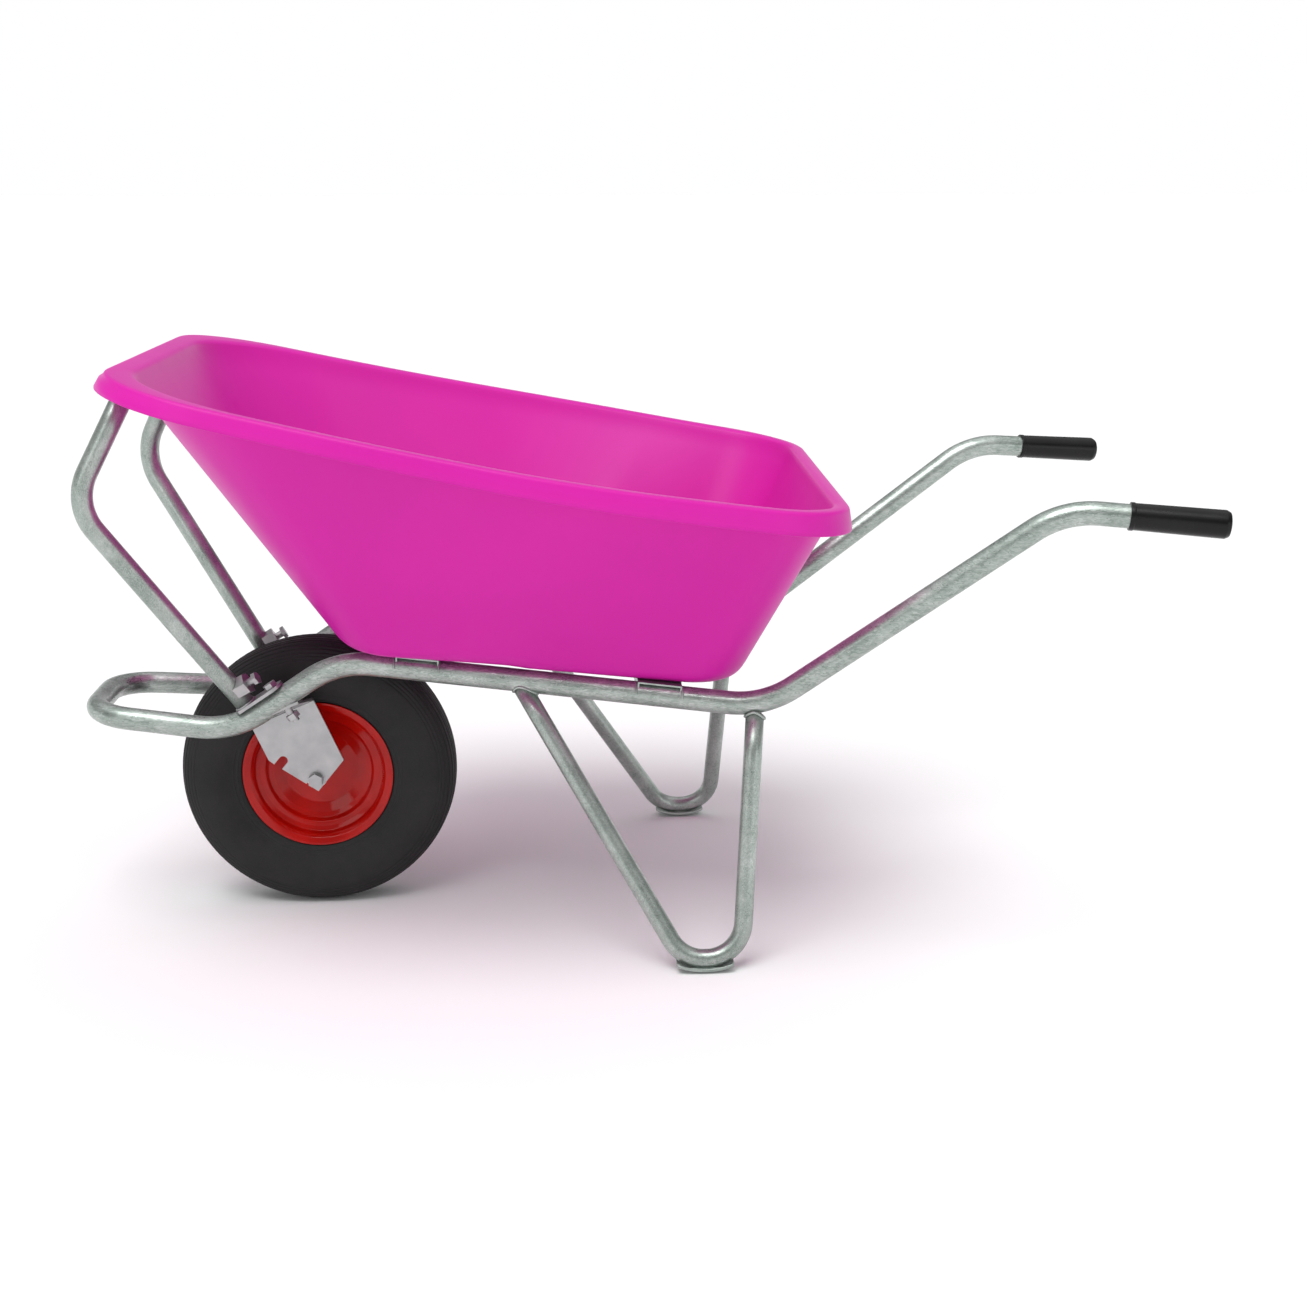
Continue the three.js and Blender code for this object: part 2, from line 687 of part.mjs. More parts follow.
// Places a piece on the valve's axis: from the inner tube it leans out to the right, towards the axle.
function valvePiece(geometry) {
  const a = radians(VALVE.angleDeg);
  const outwards = V(Math.cos(a), 0, Math.sin(a));
  const root = axle.clone().addScaledVector(outwards, tubeRadius - tubeSection).add(V(0, VALVE.rootOut, 0));
  const along = V(0, 0.42, 0).addScaledVector(outwards, -0.91);
  return geometry.applyMatrix4(axes(root, along, V(0, 1, 0)));
}

function innerTube() {
  const skin = (r) =>
    new THREE.TorusGeometry(tubeRadius, r, 8, 24).rotateX(Math.PI / 2).translate(0, 0, WHEEL.radius);
  const hole = valvePiece(rod(VALVE.radius + GAP, -12, 20, 10));
  return cut(skin(tubeSection), skin(tubeSection - TUBE.wall), hole);
}

const valveStem = () => valvePiece(rod(VALVE.radius, -2, VALVE.length, 12));
const valveCap = () => {
  const from = VALVE.length - VALVE.capLength + 3;
  const bore = rod(VALVE.radius + GAP, from - 1, VALVE.length + GAP, 12);
  return valvePiece(cut(rod(VALVE.capRadius, from, VALVE.length + 3, 12), bore));
};

const hub = () =>
  alongAxle(pipe(HUB.radius, HUB.radius - HUB.wall, -HUB.halfLength, HUB.halfLength, 32));

function bush() {
  const bore = AXLE.sleeveRadius + BUSH.runningGap;
  const barrel = HUB.radius - HUB.wall - GAP;
  const face = HUB.halfLength + GAP;
  const flange = pipe(BUSH.flangeRadius, bore, face, face + BUSH.flange, 32);
  return alongAxle(join(flange, pipe(barrel, bore, face - BUSH.length, face + 1, 32)));
}

// ---- the tray ----
// Half an outline from the middle of the front to the middle of the rear, with rounded corners.
function halfOutline(ends, corners, inset = { front: 0, side: 0, rear: 0 }) {
  const at = (x, half) => new THREE.Vector2(x, half);
  const apexes = [
    at(ends.front + inset.front, 0),
    at(ends.front + inset.front, ends.frontHalf - inset.side),
    at(ends.midX, ends.midHalf - inset.side),
    at(ends.rear - inset.rear, ends.rearHalf - inset.side),
    at(ends.rear - inset.rear, 0),
  ];
  const radii = [corners.frontRadius - inset.side, corners.midRadius, corners.rearRadius - inset.side];
  const points = [apexes[0]];
  const straightTo = (end, steps) => {
    const from = points.at(-1);
    for (let k = 1; k < steps; k++) points.push(from.clone().lerp(end, k / steps));
  };
  for (let i = 1; i < 4; i++) {
    const u = apexes[i - 1].clone().sub(apexes[i]).normalize();
    const v = apexes[i + 1].clone().sub(apexes[i]).normalize();
    const half = Math.acos(u.dot(v)) / 2;
    const r = radii[i - 1];
    const centre = u.clone().add(v).normalize().multiplyScalar(r / Math.sin(half)).add(apexes[i]);
    const start = u.clone().multiplyScalar(r / Math.tan(half)).add(apexes[i]).sub(centre);
    const turn = Math.sign(u.cross(start)) * (Math.PI - 2 * half);
    straightTo(start.clone().add(centre), TRAY.straightSteps[i - 1]);
    for (let k = 0; k <= TRAY.cornerSteps; k++) {
      const a = (turn * k) / TRAY.cornerSteps;
      points.push(start.clone().rotateAround(at(0, 0), a).add(centre));
    }
  }
  straightTo(apexes[4], TRAY.straightSteps[3]);
  points.push(apexes[4]);
  return points;
}

// The whole closed outline, as points with a height that depends on x.
function loopAt(half, height) {
  const back = half.slice(1, -1).map((p) => new THREE.Vector2(p.x, -p.y)).reverse();
  return [...half, ...back].map((p) => V(p.x, p.y, height(p.x)));
}

const rimHeight = (x) => {
  const t = (x - TRAY_RIM.front) / (TRAY_RIM.rear - TRAY_RIM.front);
  return THREE.MathUtils.lerp(TRAY.frontHeight, TRAY.rearHeight, t) - TRAY.sag * 4 * t * (1 - t);
};
const lipDepth = (x) =>
  THREE.MathUtils.mapLinear(x, TRAY_RIM.front, TRAY_RIM.rear, TRAY.lipFront, TRAY.lipRear);
const floorHeight = (x) => deckAxisHeight(x) + deckTop + GAP;

const grow = (inset, by) => ({ front: inset.front + by, side: inset.side + by, rear: inset.rear + by });
const even = (by) => ({ front: by, side: by, rear: by });
const flared = (by) => ({
  front: by - TRAY_LIP_FLARE.front,
  side: by - TRAY_LIP_FLARE.side,
  rear: by - TRAY_LIP_FLARE.rear,
});

// The curved strip between the floor and a wall, and the wall's straight part up to its top.
function wallLoops(floor, top) {
  const steps = 4;
  const loops = [];
  for (let k = 0; k <= steps; k++) {
    const t = k / steps;
    loops.push(
      floor.map((b, i) => {
        const wall = top[i].clone().sub(b).normalize();
        const inward = V(-wall.x, -wall.y, 0).normalize();
        inward.z = deckSlope * inward.x;
        const from = b.clone().addScaledVector(inward, TRAY.floorBlend);
        const to = b.clone().addScaledVector(wall, TRAY.floorBlend);
        return from.lerp(b, t).lerp(b.clone().lerp(to, t), t);
      }),
    );
  }
  const foot = loops.at(-1);
  for (let k = 1; k < TRAY.wallSteps; k++) {
    loops.push(foot.map((p, i) => p.clone().lerp(top[i], k / TRAY.wallSteps)));
  }
  return [...loops, top];
}

// Joins loops of equal length into one closed skin, with a fan at each end. A wall's inner and outer
// skins are split along the same diagonals, so that a twisted wall keeps its thickness.
function skinOf(loops, firstCentre, lastCentre) {
  const n = loops[0].length;
  const points = [...loops.flat(), firstCentre, lastCentre];
  const faces = [];
  for (let j = 0; j < loops.length - 1; j++) {
    for (let i = 0; i < n; i++) {
      const a = j * n + i;
      const b = j * n + ((i + 1) % n);
      const goesDown = points[a + n].z < points[a].z;
      faces.push(...(goesDown ? [a, a + n, b + n, a, b + n, b] : [a, a + n, b, b, a + n, b + n]));
    }
  }
  const end = (loops.length - 1) * n;
  for (let i = 0; i < n; i++) {
    const next = (i + 1) % n;
    faces.push(points.length - 2, i, next);
    faces.push(points.length - 1, end + next, end + i);
  }
  const geometry = new THREE.BufferGeometry().setFromPoints(points);
  return geometry.setIndex(faces).toNonIndexed();
}

function tray() {
  const w = TRAY.wall;
  const rimLoop = (inset, drop) =>
    loopAt(halfOutline(TRAY_RIM, TRAY_RIM_CORNERS, even(inset)), (x) => rimHeight(x) - drop);
  const lipLoop = (inset) =>
    loopAt(halfOutline(TRAY_RIM, TRAY_RIM_CORNERS, flared(inset)), (x) => rimHeight(x) - lipDepth(x));
  const bodyLoop = (by, drop) =>
    loopAt(halfOutline(TRAY_RIM, TRAY_WALL_CORNERS, grow(TRAY_INSET, by)), (x) => rimHeight(x) - drop);
  const floorLoop = (by, lift) =>
    loopAt(halfOutline(TRAY_FLOOR, TRAY_FLOOR_CORNERS, even(by)), (x) => floorHeight(x) + lift);

  const outer = wallLoops(floorLoop(0, 0), bodyLoop(0, w + 3));
  const rolled = [
    bodyLoop(-3, w),
    rimLoop(w + 2, w),
    rimLoop(w - 0.5, w + 4),
    lipLoop(w - 1),
    lipLoop(0),
    rimLoop(0, 5),
    rimLoop(1.6, 1.4),
    rimLoop(6, 0),
    bodyLoop(w - 5, 0),
    bodyLoop(w - 1, 1.6),
  ];
  const inner = wallLoops(floorLoop(w * 0.8, w), bodyLoop(w + 0.8, 6)).reverse();
  const middle = (lift) => {
    const x = (TRAY_FLOOR.front + TRAY_FLOOR.rear) / 2;
    return V(x, 0, floorHeight(x) + lift);
  };
  const shell = skinOf([...outer, ...rolled, ...inner], middle(0), middle(w));
  const holes = [CROSS.frontX, CROSS.rearX].flatMap((x) =>
    [-1, 1].map((s) => trayBoltAt(x, s, rod(TRAY_BOLT.radius + GAP, -20, 20, 12))),
  );
  return cut(shell, ...holes);
}

// ---- materials ----
const finish = (color, roughness, metalness) =>
  new THREE.MeshStandardMaterial({ color, roughness, metalness });
const galvanised = finish(0x9aa09c, 0.45, 0.85);
const zinc = finish(0xb9bcbf, 0.35, 0.9);
const plastic = finish(0xe02aa8, 0.42, 0);
const red = finish(0xb8140e, 0.2, 0.1);
const rubber = finish(0x2b2b2c, 0.85, 0);
const pvc = finish(0x151516, 0.4, 0);
const nylon = finish(0xe8e6df, 0.5, 0);
const brass = finish(0xb08d3f, 0.35, 0.9);

// ---- assembly ----
const wheelbarrow = new THREE.Group();
const frame = new THREE.Group();
const wheel = new THREE.Group();
wheelbarrow.add(frame, wheel);

function add(group, name, geometry, material) {
  const mesh = new THREE.Mesh(geometry, material);
  mesh.name = name;
  group.add(mesh);
  return mesh;
}

// The left piece as it is, and its mirror image on the right.
function addPair(group, name, geometry, material) {
  add(group, `${name}_left`, geometry, material);
  add(group, `${name}_right`, geometry, material).scale.y = -1;
}

add(frame, "frame_tube", frameTube(), galvanised);
addPair(frame, "grip", grip(), pvc);
addPair(frame, "leg", leg(), galvanised);
addPair(frame, "foot_shoe", shoe(), galvanised);
add(frame, "cross_member_front", crossMember(CROSS.frontX), galvanised);
add(frame, "cross_member_rear", crossMember(CROSS.rearX), galvanised);
addPair(frame, "stay", stay(), galvanised);
add(frame, "stay_crossbar", stayCrossbar(), galvanised);
addPair(frame, "stay_foot", stayFoot(), zinc);
addPair(frame, "clamp_nut", clampNut(), zinc);
addPair(frame, "clamp_screw", clampScrew(), zinc);
addPair(frame, "axle_plate", axlePlate(), zinc);
addPair(frame, "plate_bolt", plateBolt(), zinc);
addPair(frame, "plate_nut", plateNut(), zinc);
add(frame, "axle_sleeve", axleSleeve(), zinc);
add(frame, "axle_bolt", axleBolt(), zinc);
add(frame, "axle_nut", axleNut(), zinc);
addPair(frame, "axle_washer", axleWasher(), zinc);
add(frame, "tray", tray(), plastic);
for (const [end, x] of [["front", CROSS.frontX], ["rear", CROSS.rearX]]) {
  for (const [hand, side] of [["left", -1], ["right", 1]]) {
    add(frame, `tray_bolt_${end}_${hand}`, trayBolt(x, side), zinc);
    add(frame, `tray_nut_${end}_${hand}`, trayNut(x, side), zinc);
  }
}

add(wheel, "tyre", tyre(), rubber);
add(wheel, "inner_tube", innerTube(), rubber);
add(wheel, "wheel_rim", rim(), red);
add(wheel, "hub", hub(), red);
addPair(wheel, "bush", bush(), nylon);
add(wheel, "valve_stem", valveStem(), brass);
add(wheel, "valve_cap", valveCap(), pvc);

// The origin is on the ground, under the middle of the whole.
const extent = new THREE.Box3().setFromObject(wheelbarrow);
frame.position.set(-(extent.min.x + extent.max.x) / 2, 0, -extent.min.z);
wheel.position.copy(frame.position);

export default wheelbarrow;
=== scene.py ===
"""The looks of a tubular wheelbarrow with a plastic tray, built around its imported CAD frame.

Lengths named here are in millimetres from the wheel's centre line (x = 0, ground at z = 0), the
way the part itself is laid out. at() turns them into metres in the frame's own axes.
"""

import json
import math

import bmesh
import bpy
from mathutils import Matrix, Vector


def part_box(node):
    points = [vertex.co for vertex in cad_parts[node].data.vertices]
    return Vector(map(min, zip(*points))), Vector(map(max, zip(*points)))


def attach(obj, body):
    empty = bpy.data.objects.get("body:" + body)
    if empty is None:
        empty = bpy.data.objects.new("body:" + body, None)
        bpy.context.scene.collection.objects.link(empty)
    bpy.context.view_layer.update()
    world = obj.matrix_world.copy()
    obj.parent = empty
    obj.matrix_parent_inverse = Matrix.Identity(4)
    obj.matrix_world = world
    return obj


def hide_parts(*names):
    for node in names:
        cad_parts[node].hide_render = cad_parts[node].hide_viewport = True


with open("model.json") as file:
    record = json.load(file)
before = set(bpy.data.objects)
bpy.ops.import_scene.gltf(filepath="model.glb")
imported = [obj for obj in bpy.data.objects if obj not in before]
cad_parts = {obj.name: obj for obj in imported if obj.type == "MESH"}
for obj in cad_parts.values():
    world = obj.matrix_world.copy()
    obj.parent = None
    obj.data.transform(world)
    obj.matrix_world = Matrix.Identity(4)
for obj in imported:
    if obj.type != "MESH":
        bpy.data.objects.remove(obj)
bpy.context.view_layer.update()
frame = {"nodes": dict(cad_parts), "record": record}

# ---- where things are ----
low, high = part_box("tyre")
AXLE_X = (low[0] + high[0]) / 2
WHEEL_RADIUS = (high[2] - low[2]) * 500
AXLE_Z = (low[2] + high[2]) * 500


def at(x, y, z):
    """A point in millimetres from the wheel's centre line, as metres in the frame."""
    return Vector((AXLE_X + x / 1000, y / 1000, z / 1000))


def mm(v):
    return v / 1000


GAP = 0.35  # clearance between pieces that touch
TUBE_R = 16
FRAME_APEXES = [
    (1232.4, 333.2, 610.7),
    (1020.1, 301.7, 626.6),
    (634.3, 243.1, 351.1),
    (49.2, 130.8, 395.8),
    (-103.9, 119.2, 293.5),
    (-307.0, 88.5, 313.2),
]
FRAME_RADII = [130, 136, 140, 140, 66]
GRIP_CAP = 7.35
GRIP_LENGTH = 131
LEG_R = 12.75
LEG_FRONT_X, LEG_REAR_X = 299.5, 622.6
FOOT_FRONT_X, FOOT_REAR_X, FOOT_OUT = 517.0, 598.5, 320.0
LEG_BEND = 51
LEG_TRIM = 18  # from the rail's middle line to the leg's uncut end
SHOE_SHEET, SHOE_LIFT = 4.2, 0.5
SHOE_SHIFT = -9  # from the middle of the leg's bottom bend to the middle of the shoe
CROSS_X = {"front": 160, "rear": 492}
CROSS_HALF_WIDTH = 30
STAY_R, BAR_R = 14, 13.5
STAY_BEND_AT = (-274.8, 213.3, 635.2)
STAY_TOP_AT = (-197.0, 184.0, 788.0)
STAY_BEND = 75
BAR_OVERHANG = 14
FOOT_ALONG, FOOT_TOP = 40, 20.85
DECK_TOP = 18.55


# ---- mesh helpers ----
def mesh_object(name, verts, faces, smooth=True):
    mesh = bpy.data.meshes.new(name)
    mesh.from_pydata([tuple(v) for v in verts], [], faces)
    mesh.validate()
    obj = bpy.data.objects.new(name, mesh)
    bpy.context.collection.objects.link(obj)
    bm = bmesh.new()
    bm.from_mesh(mesh)
    bmesh.ops.recalc_face_normals(bm, faces=bm.faces)
    bm.to_mesh(mesh)
    bm.free()
    if smooth:
        mesh.polygons.foreach_set("use_smooth", [True] * len(mesh.polygons))
    return obj


def add_bevel(obj, width, segments=2, angle=35):
    mod = obj.modifiers.new("edge", "BEVEL")
    mod.width = mm(width)
    mod.segments = segments
    mod.limit_method = "ANGLE"
    mod.angle_limit = math.radians(angle)


def shade_by_angle(obj, angle=35):
    """Smooth shading everywhere but across sharp edges."""
    bm = bmesh.new()
    bm.from_mesh(obj.data)
    for face in bm.faces:
        face.smooth = True
    limit = math.radians(angle)
    for edge in bm.edges:
        edge.smooth = len(edge.link_faces) == 2 and edge.calc_face_angle(0) < limit
    bm.to_mesh(obj.data)
    bm.free()


def bent_line(apexes, radii, step_deg=3.0, straight=60.0):
    """Points and tangents along straights joined by arcs."""
    apexes = [Vector(a) for a in apexes]
    points, tangents = [apexes[0]], [(apexes[1] - apexes[0]).normalized()]

    def straight_to(target):
        start = points[-1]
        count = max(1, int((target - start).length / straight))
        direction = (target - start).normalized()
        for k in range(1, count):
            points.append(start.lerp(target, k / count))
            tangents.append(direction)

    for i in range(1, len(apexes) - 1):
        into = (apexes[i] - apexes[i - 1]).normalized()
        out = (apexes[i + 1] - apexes[i]).normalized()
        turn = into.angle(out)
        r = radii[i - 1]
        start = apexes[i] - into * (r * math.tan(turn / 2))
        side = (out - into * out.dot(into)).normalized()
        steps = max(3, math.ceil(math.degrees(turn) / step_deg))
        straight_to(start)
        for k in range(steps + 1):
            a = turn * k / steps
            points.append(start + into * (r * math.sin(a)) + side * (r * (1 - math.cos(a))))
            tangents.append(into * math.cos(a) + side * math.sin(a))
    straight_to(apexes[-1])
    points.append(apexes[-1])
    tangents.append((apexes[-1] - apexes[-2]).normalized())
    return points, tangents


def rings_along(points, tangents, radius, sides):
    """Circles of vertices square to the line, carried along without twisting."""
    normal = tangents[0].orthogonal().normalized()
    rings = []
    for i, (p, t) in enumerate(zip(points, tangents)):
        if i:
            normal = (tangents[i - 1].rotation_difference(t) @ normal).normalized()
        normal = (normal - t * normal.dot(t)).normalized()
        binormal = t.cross(normal)
        r = radius(i) if callable(radius) else radius
        ring = []
        for k in range(sides):
            a = 2 * math.pi * k / sides
            ring.append(p + (normal * math.cos(a) + binormal * math.sin(a)) * r)
        rings.append(ring)
    return rings


def skin(rings, closed_ends=True, loop=False):
    """Faces between rings of equal length."""
    n = len(rings[0])
    faces = []
    count = len(rings)
    for j in range(count if loop else count - 1):
        for i in range(n):
            a, b = j * n + i, j * n + (i + 1) % n
            c, d = ((j + 1) % count) * n + (i + 1) % n, ((j + 1) % count) * n + i
            faces.append((a, b, c, d))
    if closed_ends and not loop:
        faces.append(tuple(range(n)))
        faces.append(tuple((count - 1) * n + i for i in range(n)))
    return faces


def to_cylinder(q, e, radius):
    """Moves a point along a direction until it stands radius away from the line through q along e."""
    q, e = Vector(q), Vector(e).normalized()

    def move(p, d):
        w = p - q
        a = d - e * d.dot(e)
        b = w - e * w.dot(e)
        aa, ab, bb = a.dot(a), a.dot(b), b.dot(b) - radius * radius
        root = math.sqrt(max(0.0, ab * ab - aa * bb))
        options = sorted(((-ab - root) / aa, (-ab + root) / aa), key=abs)
        return p + d * options[0]

    return move


def to_plane(q, normal):
    q, normal = Vector(q), Vector(normal).normalized()

    def move(p, d):
        return p + d * ((q - p).dot(normal) / d.dot(normal))

    return move


def tube(name, points, tangents, radius, sides=32, start=None, end=None, wall=None):
    """A tube. start and end move the vertices of the end rings, to cope them to a neighbour."""
    rings = rings_along(points, tangents, radius, sides)
    if start:
        rings[0] = [start(v, tangents[0]) for v in rings[0]]
    if end:
        rings[-1] = [end(v, tangents[-1]) for v in rings[-1]]
    if wall:
        inner = rings_along(points, tangents, radius - wall, sides)
        if start:
            inner[0] = [start(v, tangents[0]) for v in inner[0]]
        if end:
            inner[-1] = [end(v, tangents[-1]) for v in inner[-1]]
        rings = rings + inner[::-1]
        verts = [at(*v) for ring in rings for v in ring]
        obj = mesh_object(name, verts, skin(rings, loop=True))
        shade_by_angle(obj, 50)
        return obj
    verts = [at(*v) for ring in rings for v in ring]
    return mesh_object(name, verts, skin(rings))


def mirror_copy(obj, name):
    """A copy across the middle plane, with its faces turned back out."""
    mesh = obj.data.copy()
    for v in mesh.vertices:
        v.co.y = -v.co.y
    mesh.flip_normals()
    copy = bpy.data.objects.new(name, mesh)
    bpy.context.collection.objects.link(copy)
    for mod in obj.modifiers:
        if mod.type == "BEVEL":
            twin = copy.modifiers.new(mod.name, mod.type)
            for key in ("width", "segments", "limit_method", "angle_limit"):
                setattr(twin, key, getattr(mod, key))
    return copy


PUDDLE = 3.2  # length of weld that each ripple of a bead takes


def bead(name, loop, radius, closed=True, sides=8):
    """A weld bead along a line of points, with the ripple of overlapping puddles."""
    points = [Vector(p) for p in loop]
    n = len(points)
    length = sum((points[(i + 1) % n] - points[i]).length for i in range(n if closed else n - 1))
    samples = 4 * max(6, round(length / PUDDLE))
    # even spacing along the line
    chain = points + [points[0]] if closed else points
    total = [0.0]
    for a, b in zip(chain, chain[1:]):
        total.append(total[-1] + (b - a).length)
    out, tang, j = [], [], 0
    for k in range(samples if closed else samples + 1):
        s = total[-1] * k / samples
        while total[j + 1] < s and j < len(total) - 2:
            j += 1
        f = (s - total[j]) / max(1e-9, total[j + 1] - total[j])
        out.append(chain[j].lerp(chain[j + 1], f))
    m = len(out)
    for k in range(m):
        before = out[k - 1] if (closed or k) else out[0]
        after = out[(k + 1) % m] if (closed or k < m - 1) else out[-1]
        tang.append((after - before).normalized())

    def ripple(i):
        return radius * (0.86 + 0.2 * abs(math.sin(math.pi * i / 4)) + 0.07 * math.sin(i * 1.7))

    rings = rings_along(out, tang, ripple, sides)
    verts = [at(*v) for ring in rings for v in ring]
    if closed:
        # close with the smallest twist between the last ring and the first
        first, last = rings[0], rings[-1]

        def twist(shift):
            return sum((last[i] - first[(i + shift) % sides]).length for i in range(sides))

        best = min(range(sides), key=twist)
        faces = skin(rings, closed_ends=False)
        base = (m - 1) * sides
        for i in range(sides):
            faces.append((base + i, base + (i + 1) % sides, (i + 1 + best) % sides, (i + best) % sides))
        return mesh_object(name, verts, faces)
    return mesh_object(name, verts, skin(rings))


def lathe(name, profile, segments, angle):
    """A ring about the wheel's axle from (radius, y) pairs that run round its section."""
    verts, faces, n = [], [], len(profile)
    for k in range(segments):
        a = 2 * math.pi * k / segments
        for i, (r, y) in enumerate(profile):
            verts.append(at(r * math.cos(a), y, AXLE_Z + r * math.sin(a)))
    for k in range(segments):
        for i in range(n):
            j = (i + 1) % n
            b = ((k + 1) % segments) * n
            faces.append((k * n + i, k * n + j, b + j, b + i))
    obj = mesh_object(name, verts, faces)
    shade_by_angle(obj, angle)
    return obj


def smooth_profile(points, rounds, steps=5):
    """Rounds the corners of an open profile: rounds gives each inner point's radius, or 0."""
    out = [Vector(points[0])]
    for i in range(1, len(points) - 1):
        p, r = Vector(points[i]), rounds[i]
        if not r:
            out.append(p)
            continue
        u, v = Vector(points[i - 1]) - p, Vector(points[i + 1]) - p
        half = u.angle(v) / 2
        cut = min(r / math.tan(half), u.length * 0.49, v.length * 0.49)
        a, b = p + u.normalized() * cut, p + v.normalized() * cut
        for k in range(steps + 1):
            t = k / steps
            out.append(a.lerp(p, t).lerp(p.lerp(b, t), t))
    out.append(Vector(points[-1]))
    return [tuple(p) for p in out]


# ---- materials ----
class Nodes:
    """A short way to build a material's nodes."""

    def __init__(self, name):
        self.material = bpy.data.materials.new(name)
        self.material.use_nodes = True
        self.tree = self.material.node_tree
        self.shader = self.tree.nodes["Principled BSDF"]
        coords = self.tree.nodes.new("ShaderNodeTexCoord")
        self.place = coords.outputs["Object"]

    def node(self, kind, **inputs):
        made = self.tree.nodes.new(kind)
        for key, value in inputs.items():
            key = key.replace("_", " ")
            if hasattr(value, "is_output"):
                self.tree.links.new(value, made.inputs[key])
            else:
                made.inputs[key].default_value = value
        return made

    def noise(self, scale, detail=4.0, roughness=0.55, distortion=0.0):
        made = self.node(
            "ShaderNodeTexNoise", Scale=scale, Detail=detail, Roughness=roughness, Distortion=distortion,
        )
        self.tree.links.new(self.place, made.inputs["Vector"])
        return made.outputs["Fac"]

    def cells(self, scale, vector):
        made = self.node("ShaderNodeTexVoronoi", Scale=scale)
        self.tree.links.new(vector, made.inputs["Vector"])
        return made

    def ramp(self, fac, stops):
        made = self.node("ShaderNodeValToRGB")
        self.tree.links.new(fac, made.inputs["Fac"])
        ends = made.color_ramp.elements
        while len(ends) < len(stops):
            ends.new(0.5)
        for element, (position, colour) in zip(ends, stops):
            element.position = position
            element.color = (*colour, 1)
        return made.outputs["Color"]

    def mix(self, fac, a, b):
        made = self.tree.nodes.new("ShaderNodeMix")
        made.data_type = "RGBA"
        for key, value in (("Factor", fac), ("A", a), ("B", b)):
            socket = next(s for s in made.inputs if s.name == key and s.enabled)
            if hasattr(value, "is_output"):
                self.tree.links.new(value, socket)
            else:
                socket.default_value = (*value, 1) if isinstance(value, tuple) else value
        return next(s for s in made.outputs if s.enabled)

    def span(self, fac, low, high):
        made = self.node("ShaderNodeMapRange")
        self.tree.links.new(fac, made.inputs["Value"])
        made.inputs["To Min"].default_value = low
        made.inputs["To Max"].default_value = high
        return made.outputs["Result"]

    def bump(self, height, distance_mm, strength):
        made = self.node("ShaderNodeBump", Strength=strength, Distance=mm(distance_mm))
        self.tree.links.new(height, made.inputs["Height"])
        return made.outputs["Normal"]

    def finish(self, colour, roughness, normal, **fixed):
        for key, value in fixed.items():
            self.shader.inputs[key.replace("_", " ")].default_value = value
        for key, value in (("Base Color", colour), ("Roughness", roughness), ("Normal", normal)):
            if hasattr(value, "is_output"):
                self.tree.links.new(value, self.shader.inputs[key])
            else:
                self.shader.inputs[key].default_value = value
        return self.material


def galvanised():
    n = Nodes("galvanised_steel")
    warped = n.mix(0.12, n.place, n.node("ShaderNodeTexNoise", Scale=60.0).outputs["Color"])
    spangle = n.cells(95, vector=warped)
    flakes = n.node("ShaderNodeSeparateColor")
    n.tree.links.new(spangle.outputs["Color"], flakes.inputs["Color"])
    cloud = n.noise(22, 5, 0.6)
    grain = n.noise(420, 3, 0.6)
    base = n.ramp(
        cloud, [(0.30, (0.21, 0.27, 0.235)), (0.50, (0.36, 0.42, 0.38)), (0.72, (0.56, 0.61, 0.575))],
    )
    facets = n.ramp(flakes.outputs[0], [(0.0, (0.15, 0.185, 0.165)), (1.0, (0.70, 0.735, 0.715))])
    speckled = n.mix(0.40, base, facets)
    stained = n.mix(n.span(n.noise(7, 3), 0.0, 0.24), speckled, (0.19, 0.235, 0.20))
    rough = n.span(n.mix(0.45, flakes.outputs[1], n.mix(0.5, cloud, grain)), 0.22, 0.46)
    height = n.mix(0.4, grain, n.noise(70, 4))
    return n.finish(stained, rough, n.bump(height, 0.35, 0.5), Metallic=0.78)


def zinc_plate():
    n = Nodes("zinc_plate")
    cloud = n.noise(35, 4)
    fine = n.noise(600, 3, 0.6)
    colour = n.ramp(cloud, [(0.3, (0.36, 0.365, 0.37)), (0.7, (0.48, 0.48, 0.48))])
    rough = n.span(n.mix(0.5, cloud, fine), 0.26, 0.48)
    return n.finish(colour, rough, n.bump(fine, 0.08, 0.5), Metallic=0.9)


def tray_plastic():
    n = Nodes("tray_polyethylene")
    cloud = n.noise(3.2, 4, 0.5)
    fine = n.noise(900, 2, 0.5)
    flow = n.noise(9, 5, 0.6, 0.6)
    colour = n.ramp(cloud, [(0.28, (0.605, 0.014, 0.345)), (0.72, (0.665, 0.017, 0.375))])
    rough = n.span(n.mix(0.35, flow, fine), 0.30, 0.44)
    height = n.mix(0.25, n.noise(26, 4, 0.5), fine)
    return n.finish(colour, rough, n.bump(height, 0.30, 0.35), Metallic=0.0, Specular_IOR_Level=0.17)


def red_paint():
    n = Nodes("red_gloss_paint")
    cloud = n.noise(18, 4)
    peel = n.noise(260, 2, 0.5)
    colour = n.ramp(cloud, [(0.3, (0.36, 0.003, 0.0015)), (0.7, (0.50, 0.006, 0.003))])
    rough = n.span(n.noise(60, 3), 0.05, 0.13)
    return n.finish(colour, rough, n.bump(peel, 0.10, 0.5), Metallic=0.0, Specular_IOR_Level=0.30)


